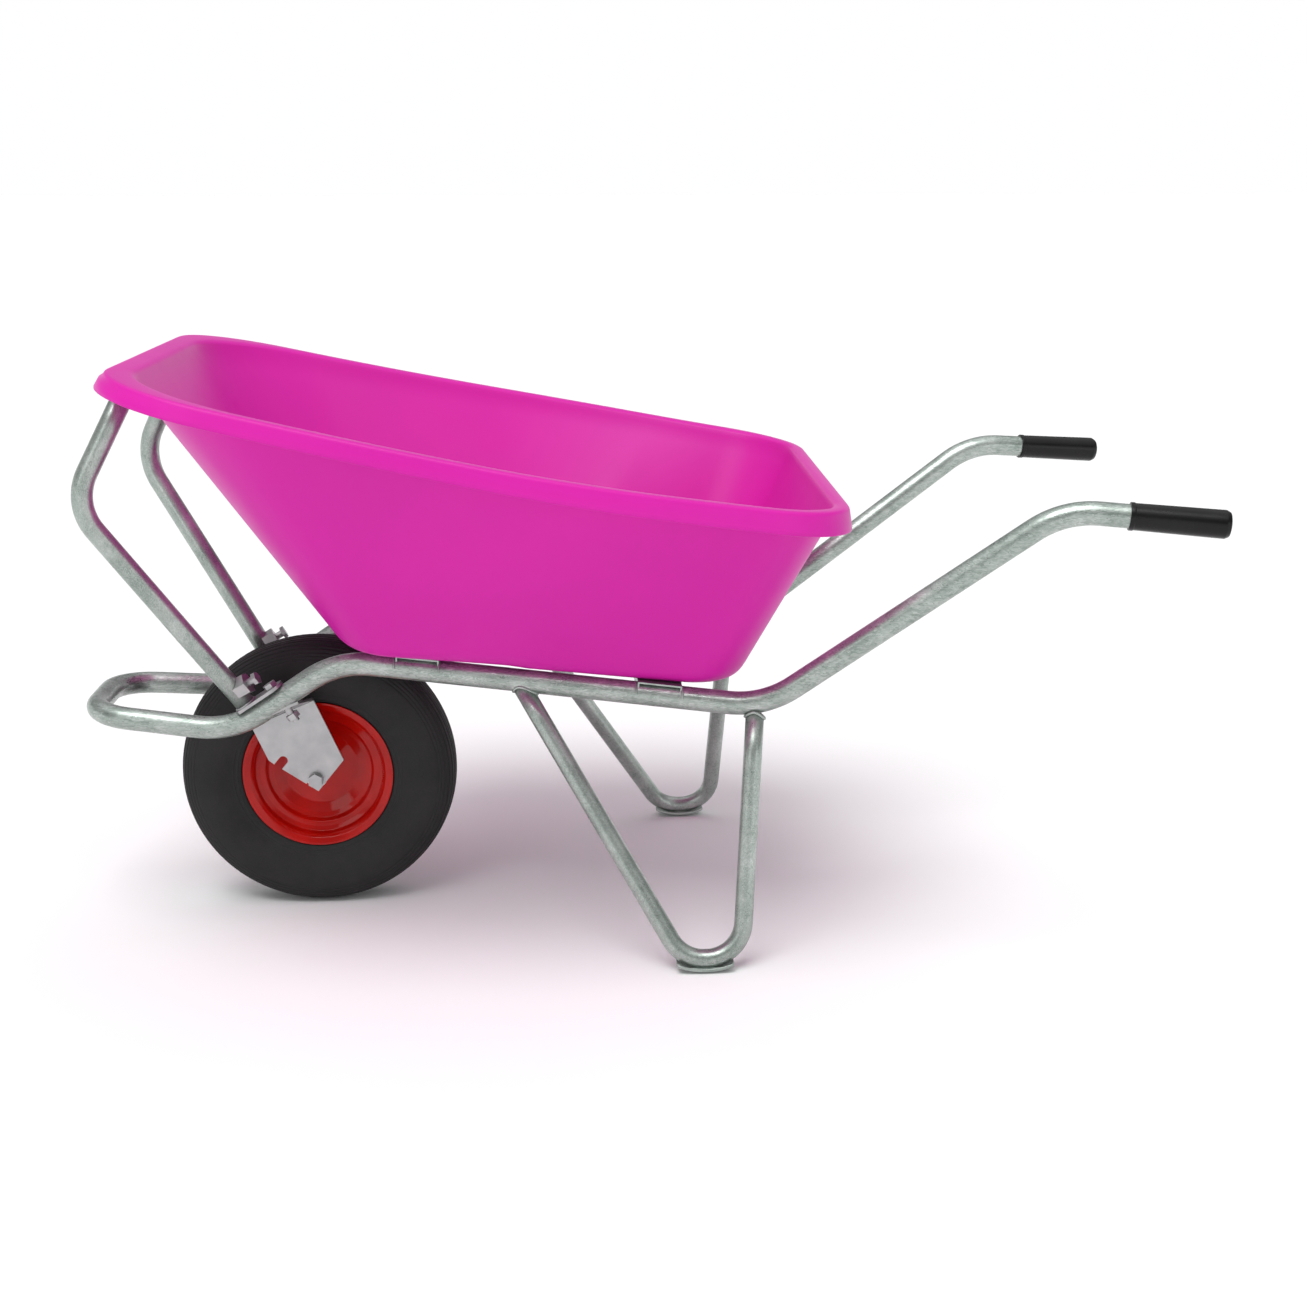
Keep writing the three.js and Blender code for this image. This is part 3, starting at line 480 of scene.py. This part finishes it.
def tyre_rubber():
    n = Nodes("tyre_rubber")
    cloud = n.noise(14, 5, 0.6)
    fine = n.noise(750, 3, 0.6)
    colour = n.ramp(n.mix(0.35, cloud, fine), [(0.3, (0.009, 0.009, 0.009)), (0.7, (0.026, 0.026, 0.026))])
    rough = n.span(cloud, 0.50, 0.78)
    return n.finish(colour, rough, n.bump(fine, 0.30, 0.6), Metallic=0.0, Specular_IOR_Level=0.28)


def grip_pvc():
    n = Nodes("grip_pvc")
    fine = n.noise(500, 3, 0.6)
    cloud = n.noise(25, 3)
    colour = n.ramp(cloud, [(0.3, (0.003, 0.003, 0.003)), (0.7, (0.006, 0.006, 0.006))])
    return n.finish(
        colour, n.span(cloud, 0.20, 0.32), n.bump(fine, 0.08, 0.5), Metallic=0.0, Specular_IOR_Level=0.26,
    )


def nylon():
    n = Nodes("bush_nylon")
    cloud = n.noise(60, 3)
    colour = n.ramp(cloud, [(0.3, (0.70, 0.69, 0.63)), (0.7, (0.80, 0.79, 0.74))])
    return n.finish(colour, n.span(cloud, 0.35, 0.5), n.bump(n.noise(500), 0.1, 0.4), Metallic=0.0)


def brass():
    n = Nodes("valve_brass")
    cloud = n.noise(90, 3)
    colour = n.ramp(cloud, [(0.3, (0.50, 0.33, 0.12)), (0.7, (0.66, 0.48, 0.20))])
    return n.finish(colour, n.span(cloud, 0.22, 0.42), n.bump(n.noise(700), 0.05, 0.4), Metallic=0.95)


MATERIALS = {
    "galvanised": galvanised(),
    "zinc_plate": zinc_plate(),
    "tray_plastic": tray_plastic(),
    "red_paint": red_paint(),
    "tyre_rubber": tyre_rubber(),
    "tube_rubber": tyre_rubber(),
    "grip_pvc": grip_pvc(),
    "nylon": nylon(),
    "valve_brass": brass(),
    "cap_plastic": grip_pvc(),
}


def piece(obj, body, slot, *nodes):
    """Gives a piece its body and its finish, and hides the CAD nodes that it stands for."""
    obj.data.materials.clear()
    obj.data.materials.append(MATERIALS[slot])
    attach(obj, body)
    if nodes:
        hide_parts(*nodes)


def paired(obj, body, slot, node=None):
    """The left piece and its mirror image on the right. The name ends in _left."""
    twin = mirror_copy(obj, obj.name.replace("_left", "_right"))
    names = [(node + "_left",), (node + "_right",)] if node else [(), ()]
    piece(obj, body, slot, *names[0])
    piece(twin, body, slot, *names[1])


# ---- frame tube and grips ----
left = [Vector((x, -y, z)) for x, y, z in FRAME_APEXES]
grip_end, handle_bend = left[0], left[1]
rear_bend, front_bend, wheel_bend = left[2], left[3], left[4]
handle_axis = (grip_end - handle_bend).normalized()
left[0] = grip_end - handle_axis * GRIP_CAP
right = [Vector((v.x, -v.y, v.z)) for v in reversed(left)]
frame_points, frame_tangents = bent_line(left + right, FRAME_RADII + FRAME_RADII[::-1])
piece(tube("frame_tube_bent", frame_points, frame_tangents, TUBE_R, 40), "frame", "galvanised", "frame_tube")

deck_slope = (rear_bend.z - front_bend.z) / (rear_bend.x - front_bend.x)


def deck_z(x):
    return front_bend.z + deck_slope * (x - front_bend.x)


def deck_out(x):
    t = (x - front_bend.x) / (rear_bend.x - front_bend.x)
    return -(front_bend.y + (rear_bend.y - front_bend.y) * t)


def turned(profile, origin, axis, name, segments=48, angle=40):
    """A solid of revolution from (radius, along) pairs about an axis in the wheel's millimetres."""
    axis = Vector(axis).normalized()
    u = axis.orthogonal().normalized()
    v = axis.cross(u)
    verts, faces = [], []
    for k in range(segments):
        a = 2 * math.pi * k / segments
        d = u * math.cos(a) + v * math.sin(a)
        verts += [at(*(Vector(origin) + axis * z + d * r)) for r, z in profile]
    n = len(profile)
    for k in range(segments):
        b = ((k + 1) % segments) * n
        for i in range(n - 1):
            faces.append((k * n + i, k * n + i + 1, b + i + 1, b + i))
    obj = mesh_object(name, verts, faces)
    bm = bmesh.new()
    bm.from_mesh(obj.data)
    bmesh.ops.remove_doubles(bm, verts=bm.verts, dist=1e-6)
    bmesh.ops.recalc_face_normals(bm, faces=bm.faces)
    bm.to_mesh(obj.data)
    bm.free()
    shade_by_angle(obj, angle)
    return obj


def grip(name):
    """A sleeve with a raised collar at its open end, slightly thicker towards its closed end."""
    start, end, length = 17.9, 18.9, GRIP_LENGTH
    collar = start + 0.9
    profile = [(TUBE_R + 0.3, 6), (TUBE_R + 0.3, 0)]
    profile += smooth_profile([(TUBE_R + 0.4, 0), (collar, 0), (collar, 5.5), (start, 6.4)], [0, 1.0, 0.6, 0])
    profile += smooth_profile(
        [(end, length - 22), (end + 0.1, length - 7), (end - 2.6, length - 1.4), (end - 8, length),
         (0.0, length)],
        [0, 3, 3, 3, 0],
    )
    return turned(profile, grip_end - handle_axis * length, handle_axis, name)


paired(grip("grip_sleeve_left"), "frame", "grip_pvc", "grip")

# ---- legs, their welds and shoes ----
deck_dir = rear_bend - front_bend
leg_low = SHOE_LIFT + SHOE_SHEET + GAP + LEG_R
leg_apexes = [
    Vector((LEG_FRONT_X, -deck_out(LEG_FRONT_X), deck_z(LEG_FRONT_X))),
    Vector((FOOT_FRONT_X, -FOOT_OUT, leg_low)),
    Vector((FOOT_REAR_X, -FOOT_OUT, leg_low)),
    Vector((LEG_REAR_X, -deck_out(LEG_REAR_X), deck_z(LEG_REAR_X))),
]
leg_points, leg_tangents = bent_line(leg_apexes, [LEG_BEND, LEG_BEND], 4)
for index, sign in ((0, 1), (-1, -1)):
    leg_points[index] = leg_points[index] + leg_tangents[index] * (sign * LEG_TRIM)
on_tube = to_cylinder(front_bend, deck_dir, TUBE_R - 0.3)
leg = tube("leg_vee_left", leg_points, leg_tangents, LEG_R, 32, start=on_tube, end=on_tube)
paired(leg, "frame", "galvanised", "leg")


def cope_loop(p, d, radius, move, count=48, grow=0.6):
    ring = rings_along([p], [d], radius + grow, count)[0]
    return [move(v, d) for v in ring]


outside_tube = to_cylinder(front_bend, deck_dir, TUBE_R + 0.4)
for tag, index in (("front", 0), ("rear", -1)):
    loop = cope_loop(leg_points[index], leg_tangents[index], LEG_R, outside_tube)
    paired(bead(f"leg_weld_{tag}_left", loop, 2.0), "frame", "galvanised")


def shoe(name):
    """A plate whose ends and sides turn up, and whose corners are rounded."""
    centre = (FOOT_FRONT_X + FOOT_REAR_X) / 2 + SHOE_SHIFT
    half, rise, half_width = 39.0, 8.0, 14.0
    corner, side_rise = 6, 3.4
    stations = []
    steps = 18
    for k in range(steps + 1):
        x = -half + 2 * half * k / steps
        stations.append((x, rise * abs(x / half) ** 2.2))

    def cup(y):
        return side_rise * (abs(y) / half_width) ** 2

    across = [half_width * (k / 6 - 1) for k in range(13)]
    section = [(y, cup(y)) for y in across] + [(y * 0.93, cup(y) + SHOE_SHEET) for y in reversed(across)]
    rings = []
    for x, z in stations:
        near = max(0.0, abs(x) - (half - corner)) / corner
        narrow = 1 - 0.16 * (1 - math.sqrt(max(0.0, 1 - near * near)))
        rings.append([Vector((centre + x, -FOOT_OUT + y * narrow, z + v)) for y, v in section])
    verts = [at(*v) for ring in rings for v in ring]
    obj = mesh_object(name, verts, skin(rings))
    shade_by_angle(obj, 40)
    add_bevel(obj, 0.9, 3, 50)
    return obj


paired(shoe("foot_shoe_sheet_left"), "frame", "galvanised", "foot_shoe")
shoe_top = SHOE_SHEET + 0.4
weld_x = [FOOT_FRONT_X + 12 + k * 4 for k in range(12)]
for side_name, out in (("outer", -1), ("inner", 1)):
    line = [(x, -FOOT_OUT + out * 6.5, shoe_top + 1.2) for x in weld_x]
    paired(bead(f"shoe_weld_{side_name}_left", line, 1.9, closed=False), "frame", "galvanised")

# ---- front stays and their crossbar ----
incline = (front_bend - wheel_bend).normalized()
incline_normal = incline.cross(Vector((0, 1, 0))).normalized()
if incline_normal.z < 0:
    incline_normal.negate()


def on_incline(along, lift):
    return wheel_bend + incline * along + incline_normal * lift


stay_base = on_incline(FOOT_ALONG, FOOT_TOP)
stay_bend = Vector((STAY_BEND_AT[0], -STAY_BEND_AT[1], STAY_BEND_AT[2]))
stay_top = Vector((STAY_TOP_AT[0], -STAY_TOP_AT[1], STAY_TOP_AT[2]))
stay_axis = (stay_bend - stay_base).normalized()
stay_points, stay_tangents = bent_line([stay_base, stay_bend, stay_top], [STAY_BEND], 4)
bar_line = to_cylinder(stay_top, (0, 1, 0), BAR_R)
stay = tube(
    "stay_tube_left", stay_points, stay_tangents, STAY_R, 32,
    start=to_plane(stay_base + incline_normal * GAP, incline_normal), end=bar_line,
)
paired(stay, "frame", "galvanised", "stay")
bar_half = STAY_TOP_AT[1] + BAR_OVERHANG
bar_ends = [Vector((stay_top.x, y, stay_top.z)) for y in (-bar_half, bar_half)]
bar_points, bar_tangents = bent_line(bar_ends, [])
piece(tube("stay_bar", bar_points, bar_tangents, BAR_R, 32, wall=2), "frame", "galvanised", "stay_crossbar")
loop = cope_loop(stay_points[-2], stay_tangents[-1], STAY_R, to_cylinder(stay_top, (0, 1, 0), BAR_R + 0.4))
paired(bead("stay_weld_left", loop, 1.8), "frame", "galvanised")
foot_loop = cope_loop(stay_base, stay_axis, STAY_R, to_plane(on_incline(0, FOOT_TOP + 0.9), incline_normal))
paired(bead("stay_foot_weld_left", foot_loop, 1.7), "frame", "zinc_plate")

# ---- cross member welds, round the rails along the edges of the folded channels ----
weld_out = TUBE_R + 0.8
for tag, middle in CROSS_X.items():
    for edge, way in (("a", -1), ("b", 1)):
        x = middle + way * CROSS_HALF_WIDTH
        points = []
        for k in range(10):
            a = math.radians(20 + k * 7)
            y = -(deck_out(x) + math.sin(a) * weld_out)
            points.append((x + way * 1.2, y, deck_z(x) + math.cos(a) * weld_out))
        paired(bead(f"cross_weld_{tag}_{edge}_left", points, 1.7, closed=False), "frame", "galvanised")

# ---- tray ----
# Outlines: the x of both ends, and the half widths at the front, at mid_x and at the rear.
# Corner radii are those at the front, the middle and the rear.
RIM = dict(front=-215, rear=745, front_half=372, mid_x=380, mid_half=432, rear_half=366)
RIM_HEIGHT = dict(front=815, rear=630, sag=12)
LIP = dict(front=24, rear=31)
RIM_CORNERS = (160, 900, 140)
WALL_CORNERS = (200, 900, 140)
INSET = dict(front=31, side=22.6, rear=20)
FLARE = dict(front=13, side=3, rear=3)
FLOOR = dict(front=63, rear=600.6, front_half=180.6, mid_x=300, mid_half=198, rear_half=238.5)
FLOOR_CORNERS = (62, 900, 62)
WALL = 4.0
CORNER_STEPS = (16, 12, 16)
STRAIGHT_STEPS = (6, 8, 8, 6)
BLEND = 31


def half_outline(ends, corners, front=0.0, side=0.0, rear=0.0):
    """Half of a rounded outline from the middle of the front to the middle of the rear."""
    apexes = [
        Vector((ends["front"] + front, 0)),
        Vector((ends["front"] + front, ends["front_half"] - side)),
        Vector((ends["mid_x"], ends["mid_half"] - side)),
        Vector((ends["rear"] - rear, ends["rear_half"] - side)),
        Vector((ends["rear"] - rear, 0)),
    ]
    radii = (corners[0] - side, corners[1], corners[2] - side)
    points = [apexes[0]]
    for i in (1, 2, 3):
        u = (apexes[i - 1] - apexes[i]).normalized()
        v = (apexes[i + 1] - apexes[i]).normalized()
        half = u.angle(v) / 2
        r = radii[i - 1]
        centre = apexes[i] + (u + v).normalized() * (r / math.sin(half))
        start = apexes[i] + u * (r / math.tan(half)) - centre
        last = points[-1]
        target = start + centre
        for k in range(1, STRAIGHT_STEPS[i - 1]):
            points.append(last.lerp(target, k / STRAIGHT_STEPS[i - 1]))
        turn = math.pi - 2 * half
        sign = 1 if u.x * start.y - u.y * start.x > 0 else -1
        for k in range(CORNER_STEPS[i - 1] + 1):
            a = sign * turn * k / CORNER_STEPS[i - 1]
            c, s = math.cos(a), math.sin(a)
            points.append(centre + Vector((start.x * c - start.y * s, start.x * s + start.y * c)))
    last = points[-1]
    for k in range(1, STRAIGHT_STEPS[3] + 1):
        points.append(last.lerp(apexes[4], k / STRAIGHT_STEPS[3]))
    return points


def loop_at(half, height):
    back = [Vector((p.x, -p.y)) for p in reversed(half[1:-1])]
    return [Vector((p.x, p.y, height(p.x))) for p in half + back]


def rim_z(x):
    t = (x - RIM["front"]) / (RIM["rear"] - RIM["front"])
    straight = RIM_HEIGHT["front"] + (RIM_HEIGHT["rear"] - RIM_HEIGHT["front"]) * t
    return straight - RIM_HEIGHT["sag"] * 4 * t * (1 - t)


def lip_depth(x):
    t = (x - RIM["front"]) / (RIM["rear"] - RIM["front"])
    return LIP["front"] + (LIP["rear"] - LIP["front"]) * t


def floor_z(x):
    return deck_z(x) + DECK_TOP + GAP


def rim_loop(inset, drop):
    return loop_at(half_outline(RIM, RIM_CORNERS, inset, inset, inset), lambda x: rim_z(x) - drop)


def lip_loop(inset, lift=0.0):
    """The lip leans outwards as it goes down: lift is the height above its lower edge."""
    share = 1 - lift / LIP["front"]
    sides = [inset - FLARE[key] * share for key in ("front", "side", "rear")]
    return loop_at(half_outline(RIM, RIM_CORNERS, *sides), lambda x: rim_z(x) - lip_depth(x) + lift)


def body_loop(by, drop):
    inset = [INSET["front"] + by, INSET["side"] + by, INSET["rear"] + by]
    return loop_at(half_outline(RIM, WALL_CORNERS, *inset), lambda x: rim_z(x) - drop)


def floor_loop(by, lift):
    return loop_at(half_outline(FLOOR, FLOOR_CORNERS, by, by, by), lambda x: floor_z(x) + lift)


def wall_loops(floor, top, arc=9, rise=12):
    loops = []
    for k in range(arc + 1):
        t = k / arc
        loop = []
        for b, top_point in zip(floor, top):
            wall = (top_point - b).normalized()
            inward = Vector((-wall.x, -wall.y, 0)).normalized()
            inward.z = deck_slope * inward.x
            a, c = b + inward * BLEND, b + wall * BLEND
            loop.append(a.lerp(b, t).lerp(b.lerp(c, t), t))
        loops.append(loop)
    last = loops[-1]
    for k in range(1, rise + 1):
        loops.append([p.lerp(q, k / rise) for p, q in zip(last, top)])
    return loops


def inner_floor(loop, steps=6):
    """Loops that shrink from the fold towards the middle of the floor."""
    cx = (FLOOR["front"] + FLOOR["rear"]) / 2
    loops = []
    for k in range(steps, 0, -1):
        f = k / (steps + 1)
        ring = []
        for p in loop:
            x, y = cx + (p.x - cx) * f, p.y * f
            ring.append(Vector((x, y, p.z + deck_slope * (x - p.x))))
        loops.append(ring)
    return loops[::-1]


def tray():
    """One closed skin: up the outside from the floor, over the lip and down the inside."""
    outer = wall_loops(floor_loop(0, 0), body_loop(0, WALL + 9))
    rolled = [
        body_loop(-1.2, WALL + 4.6), body_loop(-3.6, WALL + 1.6), body_loop(-6.5, WALL),
        rim_loop(WALL + 5, WALL), rim_loop(WALL + 2, WALL + 1.2), rim_loop(WALL + 0.4, WALL + 4),
        lip_loop(WALL - 0.2, 6), lip_loop(WALL - 0.4, 1.2), lip_loop(WALL - 1.0, 0.3),
        lip_loop(1.8, 0), lip_loop(0.7, 0.35), lip_loop(0.1, 1.5), lip_loop(0, 6), lip_loop(0, 14),
        rim_loop(0.5, 5.6), rim_loop(1.2, 3.2), rim_loop(2.6, 1.3), rim_loop(4.7, 0.3),
        rim_loop(8, 0),
        body_loop(-7.5, 0), body_loop(-3.0, 0.5), body_loop(0.4, 2.2), body_loop(2.6, 5.0),
    ]
    inner = wall_loops(floor_loop(WALL * 0.8, WALL), body_loop(WALL + 0.6, 12))[::-1]
    rings = inner_floor(outer[0]) + outer + rolled + inner + inner_floor(inner[-1])[::-1]
    n = len(rings[0])
    faces = skin(rings, closed_ends=False)
    verts = [v for ring in rings for v in ring]
    for ring_index in (0, len(rings) - 1):
        ring = rings[ring_index]
        centre = sum(ring, Vector()) / n
        verts.append(centre)
        c = len(verts) - 1
        for i in range(n):
            faces.append((ring_index * n + i, ring_index * n + (i + 1) % n, c))
    return mesh_object("tray_moulding", [at(*v) for v in verts], faces)


piece(tray(), "frame", "tray_plastic", "tray")


# ---- wheel ----
def both_sides(half):
    """A section that runs round from the +y side to the -y side."""
    return half + [(r, -y) for r, y in reversed(half)]


def tyre():
    R = WHEEL_RADIUS
    # (radius, y) from the middle of the tread, round the sidewall, to the bead in the rim
    outer = [
        (R, 0.0), (R - 0.5, 9), (R - 1.4, 18), (R - 3.4, 27), (R - 7.6, 35), (R - 14, 41.5),
        (R - 23, 46), (R - 34, 48.3), (R - 45, 49), (R - 57, 47.9), (R - 68, 44.6), (R - 78, 40.6),
        (112.5, 38.9), (110.6, 37.0), (108, 33.6), (101, 30.0), (97.6, 27.2), (97.6, 23.0),
    ]
    # a smooth curve through those points, with grooves cut into it
    curve = []
    for i in range(len(outer) - 1):
        p0 = Vector(outer[max(0, i - 1)])
        p1, p2 = Vector(outer[i]), Vector(outer[i + 1])
        p3 = Vector(outer[min(len(outer) - 1, i + 2)])
        if i == 0:
            p0 = Vector((outer[1][0], -outer[1][1]))
        for k in range(8):
            t = k / 8
            curve.append(0.5 * (2 * p1 + (p2 - p0) * t + (2 * p0 - 5 * p1 + 4 * p2 - p3) * t * t
                                + (3 * p1 - p0 - 3 * p2 + p3) * t ** 3))
    curve.append(Vector(outer[-1]))
    travelled, grooved = 0.0, []
    # each groove's distance from the middle of the tread, its half width and its depth
    grooves = [(4.6, 1.5, 2.6), (13.4, 1.5, 2.6), (22.0, 1.5, 2.5), (30.4, 1.4, 2.2), (38.4, 1.2, 1.6),
               (45.6, 0.9, 0.9), (51.0, 0.8, 0.7), (56.0, 0.7, 0.6), (112.0, 0.9, 0.5), (118.0, 0.9, 0.6)]
    dense = []
    for a, b in zip(curve, curve[1:]):
        steps = max(1, round((b - a).length / 0.55))
        for k in range(steps):
            dense.append(a.lerp(b, k / steps))
    dense.append(curve[-1])
    for i, p in enumerate(dense):
        if i:
            travelled += (p - dense[i - 1]).length
        q = dense[min(i + 1, len(dense) - 1)] - dense[max(i - 1, 0)]
        inward = Vector((-q.y, q.x)).normalized()
        if inward.x > 0:
            inward.negate()
        depth = 0.0
        for centre, half_width, deep in grooves:
            d = abs(travelled - centre) / half_width
            if d < 1.3:
                depth = max(depth, deep * (1 - max(0.0, d - 0.45) / 0.85))
        grooved.append((p + inward * depth, depth))
    # drop points that say nothing, where the surface is plain
    kept = []
    for i, (p, depth) in enumerate(grooved):
        busy = any(grooved[j][1] != depth for j in (max(0, i - 1), min(len(grooved) - 1, i + 1)))
        if busy or i % 6 == 0 or i in (0, len(grooved) - 1):
            kept.append(tuple(p))
    inner = [(104, 23), (113, 30), (128, 34.3), (146, 39), (164, 38), (178, 33), (186, 22), (189.5, 8)]
    return lathe("tyre_ribbed", both_sides(kept[1:] + inner)[::-1] + [kept[0]], 128, angle=60)


piece(tyre(), "wheel", "tyre_rubber", "tyre")


def rim():
    visible = smooth_profile(
        [(18.9, 2.0), (34, 2.0), (54, 2.0), (68, 9.5), (75.4, 12.2), (79.0, 18.8), (86, 20.6), (92.6, 23.4),
         (94.2, 31.0), (98.5, 36.0), (106.5, 38.6), (109.2, 38.4), (109.0, 35.6)],
        [0, 0, 9, 9, 5, 4, 6, 3, 4, 5, 1.6, 0.8, 0], 5,
    )
    tyre_side = smooth_profile(
        [(107.6, 35.4), (100.6, 33.2), (96.5, 29.5), (96.5, 22.5), (79.6, 14.5)], [0, 3, 3, 3, 0], 4)
    return lathe("wheel_rim_pressed", both_sides(visible + tyre_side), 128, angle=50)


piece(rim(), "wheel", "red_paint", "wheel_rim")


def hub():
    half = [
        (13.0, 49), (14.8, 49), (15.5, 48.3), (15.5, 6.0), (16.6, 4.2), (18.6, 3.2), (18.6, 2.5), (15.5, 2.4),
    ]
    return lathe("hub_tube", both_sides(half), 64, angle=45)


piece(hub(), "wheel", "red_paint", "hub")

# ---- CAD nodes that stay, with soft edges and their own finish ----
record_slots = {row["node"]: row["material_slot"] for row in frame["record"]["subparts"]}
EDGE = {
    "axle_plate": 0.5, "cross_member": 0.7, "stay_foot": 0.7, "clamp": 0.5, "plate": 0.4, "axle": 0.4,
    "tray": 0.4,
}
for name, obj in frame["nodes"].items():
    obj.data.materials.clear()
    obj.data.materials.append(MATERIALS[record_slots[name]])
    width = next((w for key, w in EDGE.items() if name.startswith(key)), None)
    if width and not obj.hide_render:
        add_bevel(obj, width, 2, 28)

# ---- floor, light and camera ----
FLOOR_HALF = 60  # metres
floor_corners = [(x * FLOOR_HALF, y * FLOOR_HALF, 0) for x, y in ((-1, -1), (1, -1), (1, 1), (-1, 1))]
floor = mesh_object("floor", floor_corners, [(0, 1, 2, 3)], False)
paper = Nodes("floor_paper")
paper_tone = paper.ramp(paper.noise(1.4, 3), [(0.3, (0.90, 0.90, 0.90)), (0.7, (0.92, 0.92, 0.92))])
paper_grain = paper.bump(paper.noise(300), 0.1, 0.2)
floor.data.materials.append(paper.finish(paper_tone, 0.9, paper_grain, Metallic=0.0))

scene = bpy.context.scene
world = bpy.data.worlds.new("studio")
scene.world = world
world.use_nodes = True
tree = world.node_tree
background = tree.nodes["Background"]
coords = tree.nodes.new("ShaderNodeTexCoord")
split = tree.nodes.new("ShaderNodeSeparateXYZ")
ramp = tree.nodes.new("ShaderNodeValToRGB")
tree.links.new(coords.outputs["Generated"], split.inputs[0])
tree.links.new(split.outputs["Z"], ramp.inputs["Fac"])
tree.links.new(ramp.outputs["Color"], background.inputs["Color"])
# The sky is white at the horizon and overhead and greyer between, which models the tubes.
stops = [(0.0, 1.0), (0.12, 1.0), (0.24, 0.30), (0.52, 0.26), (0.74, 0.80), (0.9, 1.0)]
while len(ramp.color_ramp.elements) < len(stops):
    ramp.color_ramp.elements.new(0.5)
for element, (position, grey) in zip(ramp.color_ramp.elements, stops):
    element.position = position
    element.color = (grey, grey, grey * 1.01, 1)
background.inputs["Strength"].default_value = 1.0


def softbox(name, where, aim, size, power):
    light = bpy.data.lights.new(name, "AREA")
    light.shape = "RECTANGLE"
    light.size, light.size_y = size
    light.energy = power
    obj = bpy.data.objects.new(name, light)
    obj.location = where
    obj.rotation_euler = (Vector(aim) - Vector(where)).to_track_quat("-Z", "Y").to_euler()
    bpy.context.collection.objects.link(obj)


softbox("front_left", (-2.6, -3.2, 1.9), (0.0, 0.0, 0.4), (1.6, 1.6), 12)
softbox("front_right", (3.0, -3.0, 1.4), (0.2, 0.0, 0.4), (1.6, 1.6), 8)

daylight = bpy.data.lights.new("daylight", "SUN")
daylight.energy = 1.75
daylight.angle = math.radians(38)
daylight_object = bpy.data.objects.new("daylight", daylight)
daylight_object.rotation_euler = (math.radians(20), math.radians(-12), 0)
bpy.context.collection.objects.link(daylight_object)

CAMERA_AT = (382.5, -2710.2, 1070.1)
CAMERA_DOWN, CAMERA_ROLL, CAMERA_PAN = 14.414, 0.06, -3.669  # degrees
camera = bpy.data.cameras.new("camera")
camera.sensor_width = 36
camera.lens = 52.22
camera.shift_x, camera.shift_y = -0.0317, -0.0043
camera_object = bpy.data.objects.new("camera", camera)
camera_object.location = at(*CAMERA_AT)
camera_turn = (90 - CAMERA_DOWN, CAMERA_ROLL, CAMERA_PAN)
camera_object.rotation_euler = [math.radians(degrees) for degrees in camera_turn]
bpy.context.collection.objects.link(camera_object)
scene.camera = camera_object
scene.view_settings.view_transform = "Standard"
scene.view_settings.exposure = 0.0
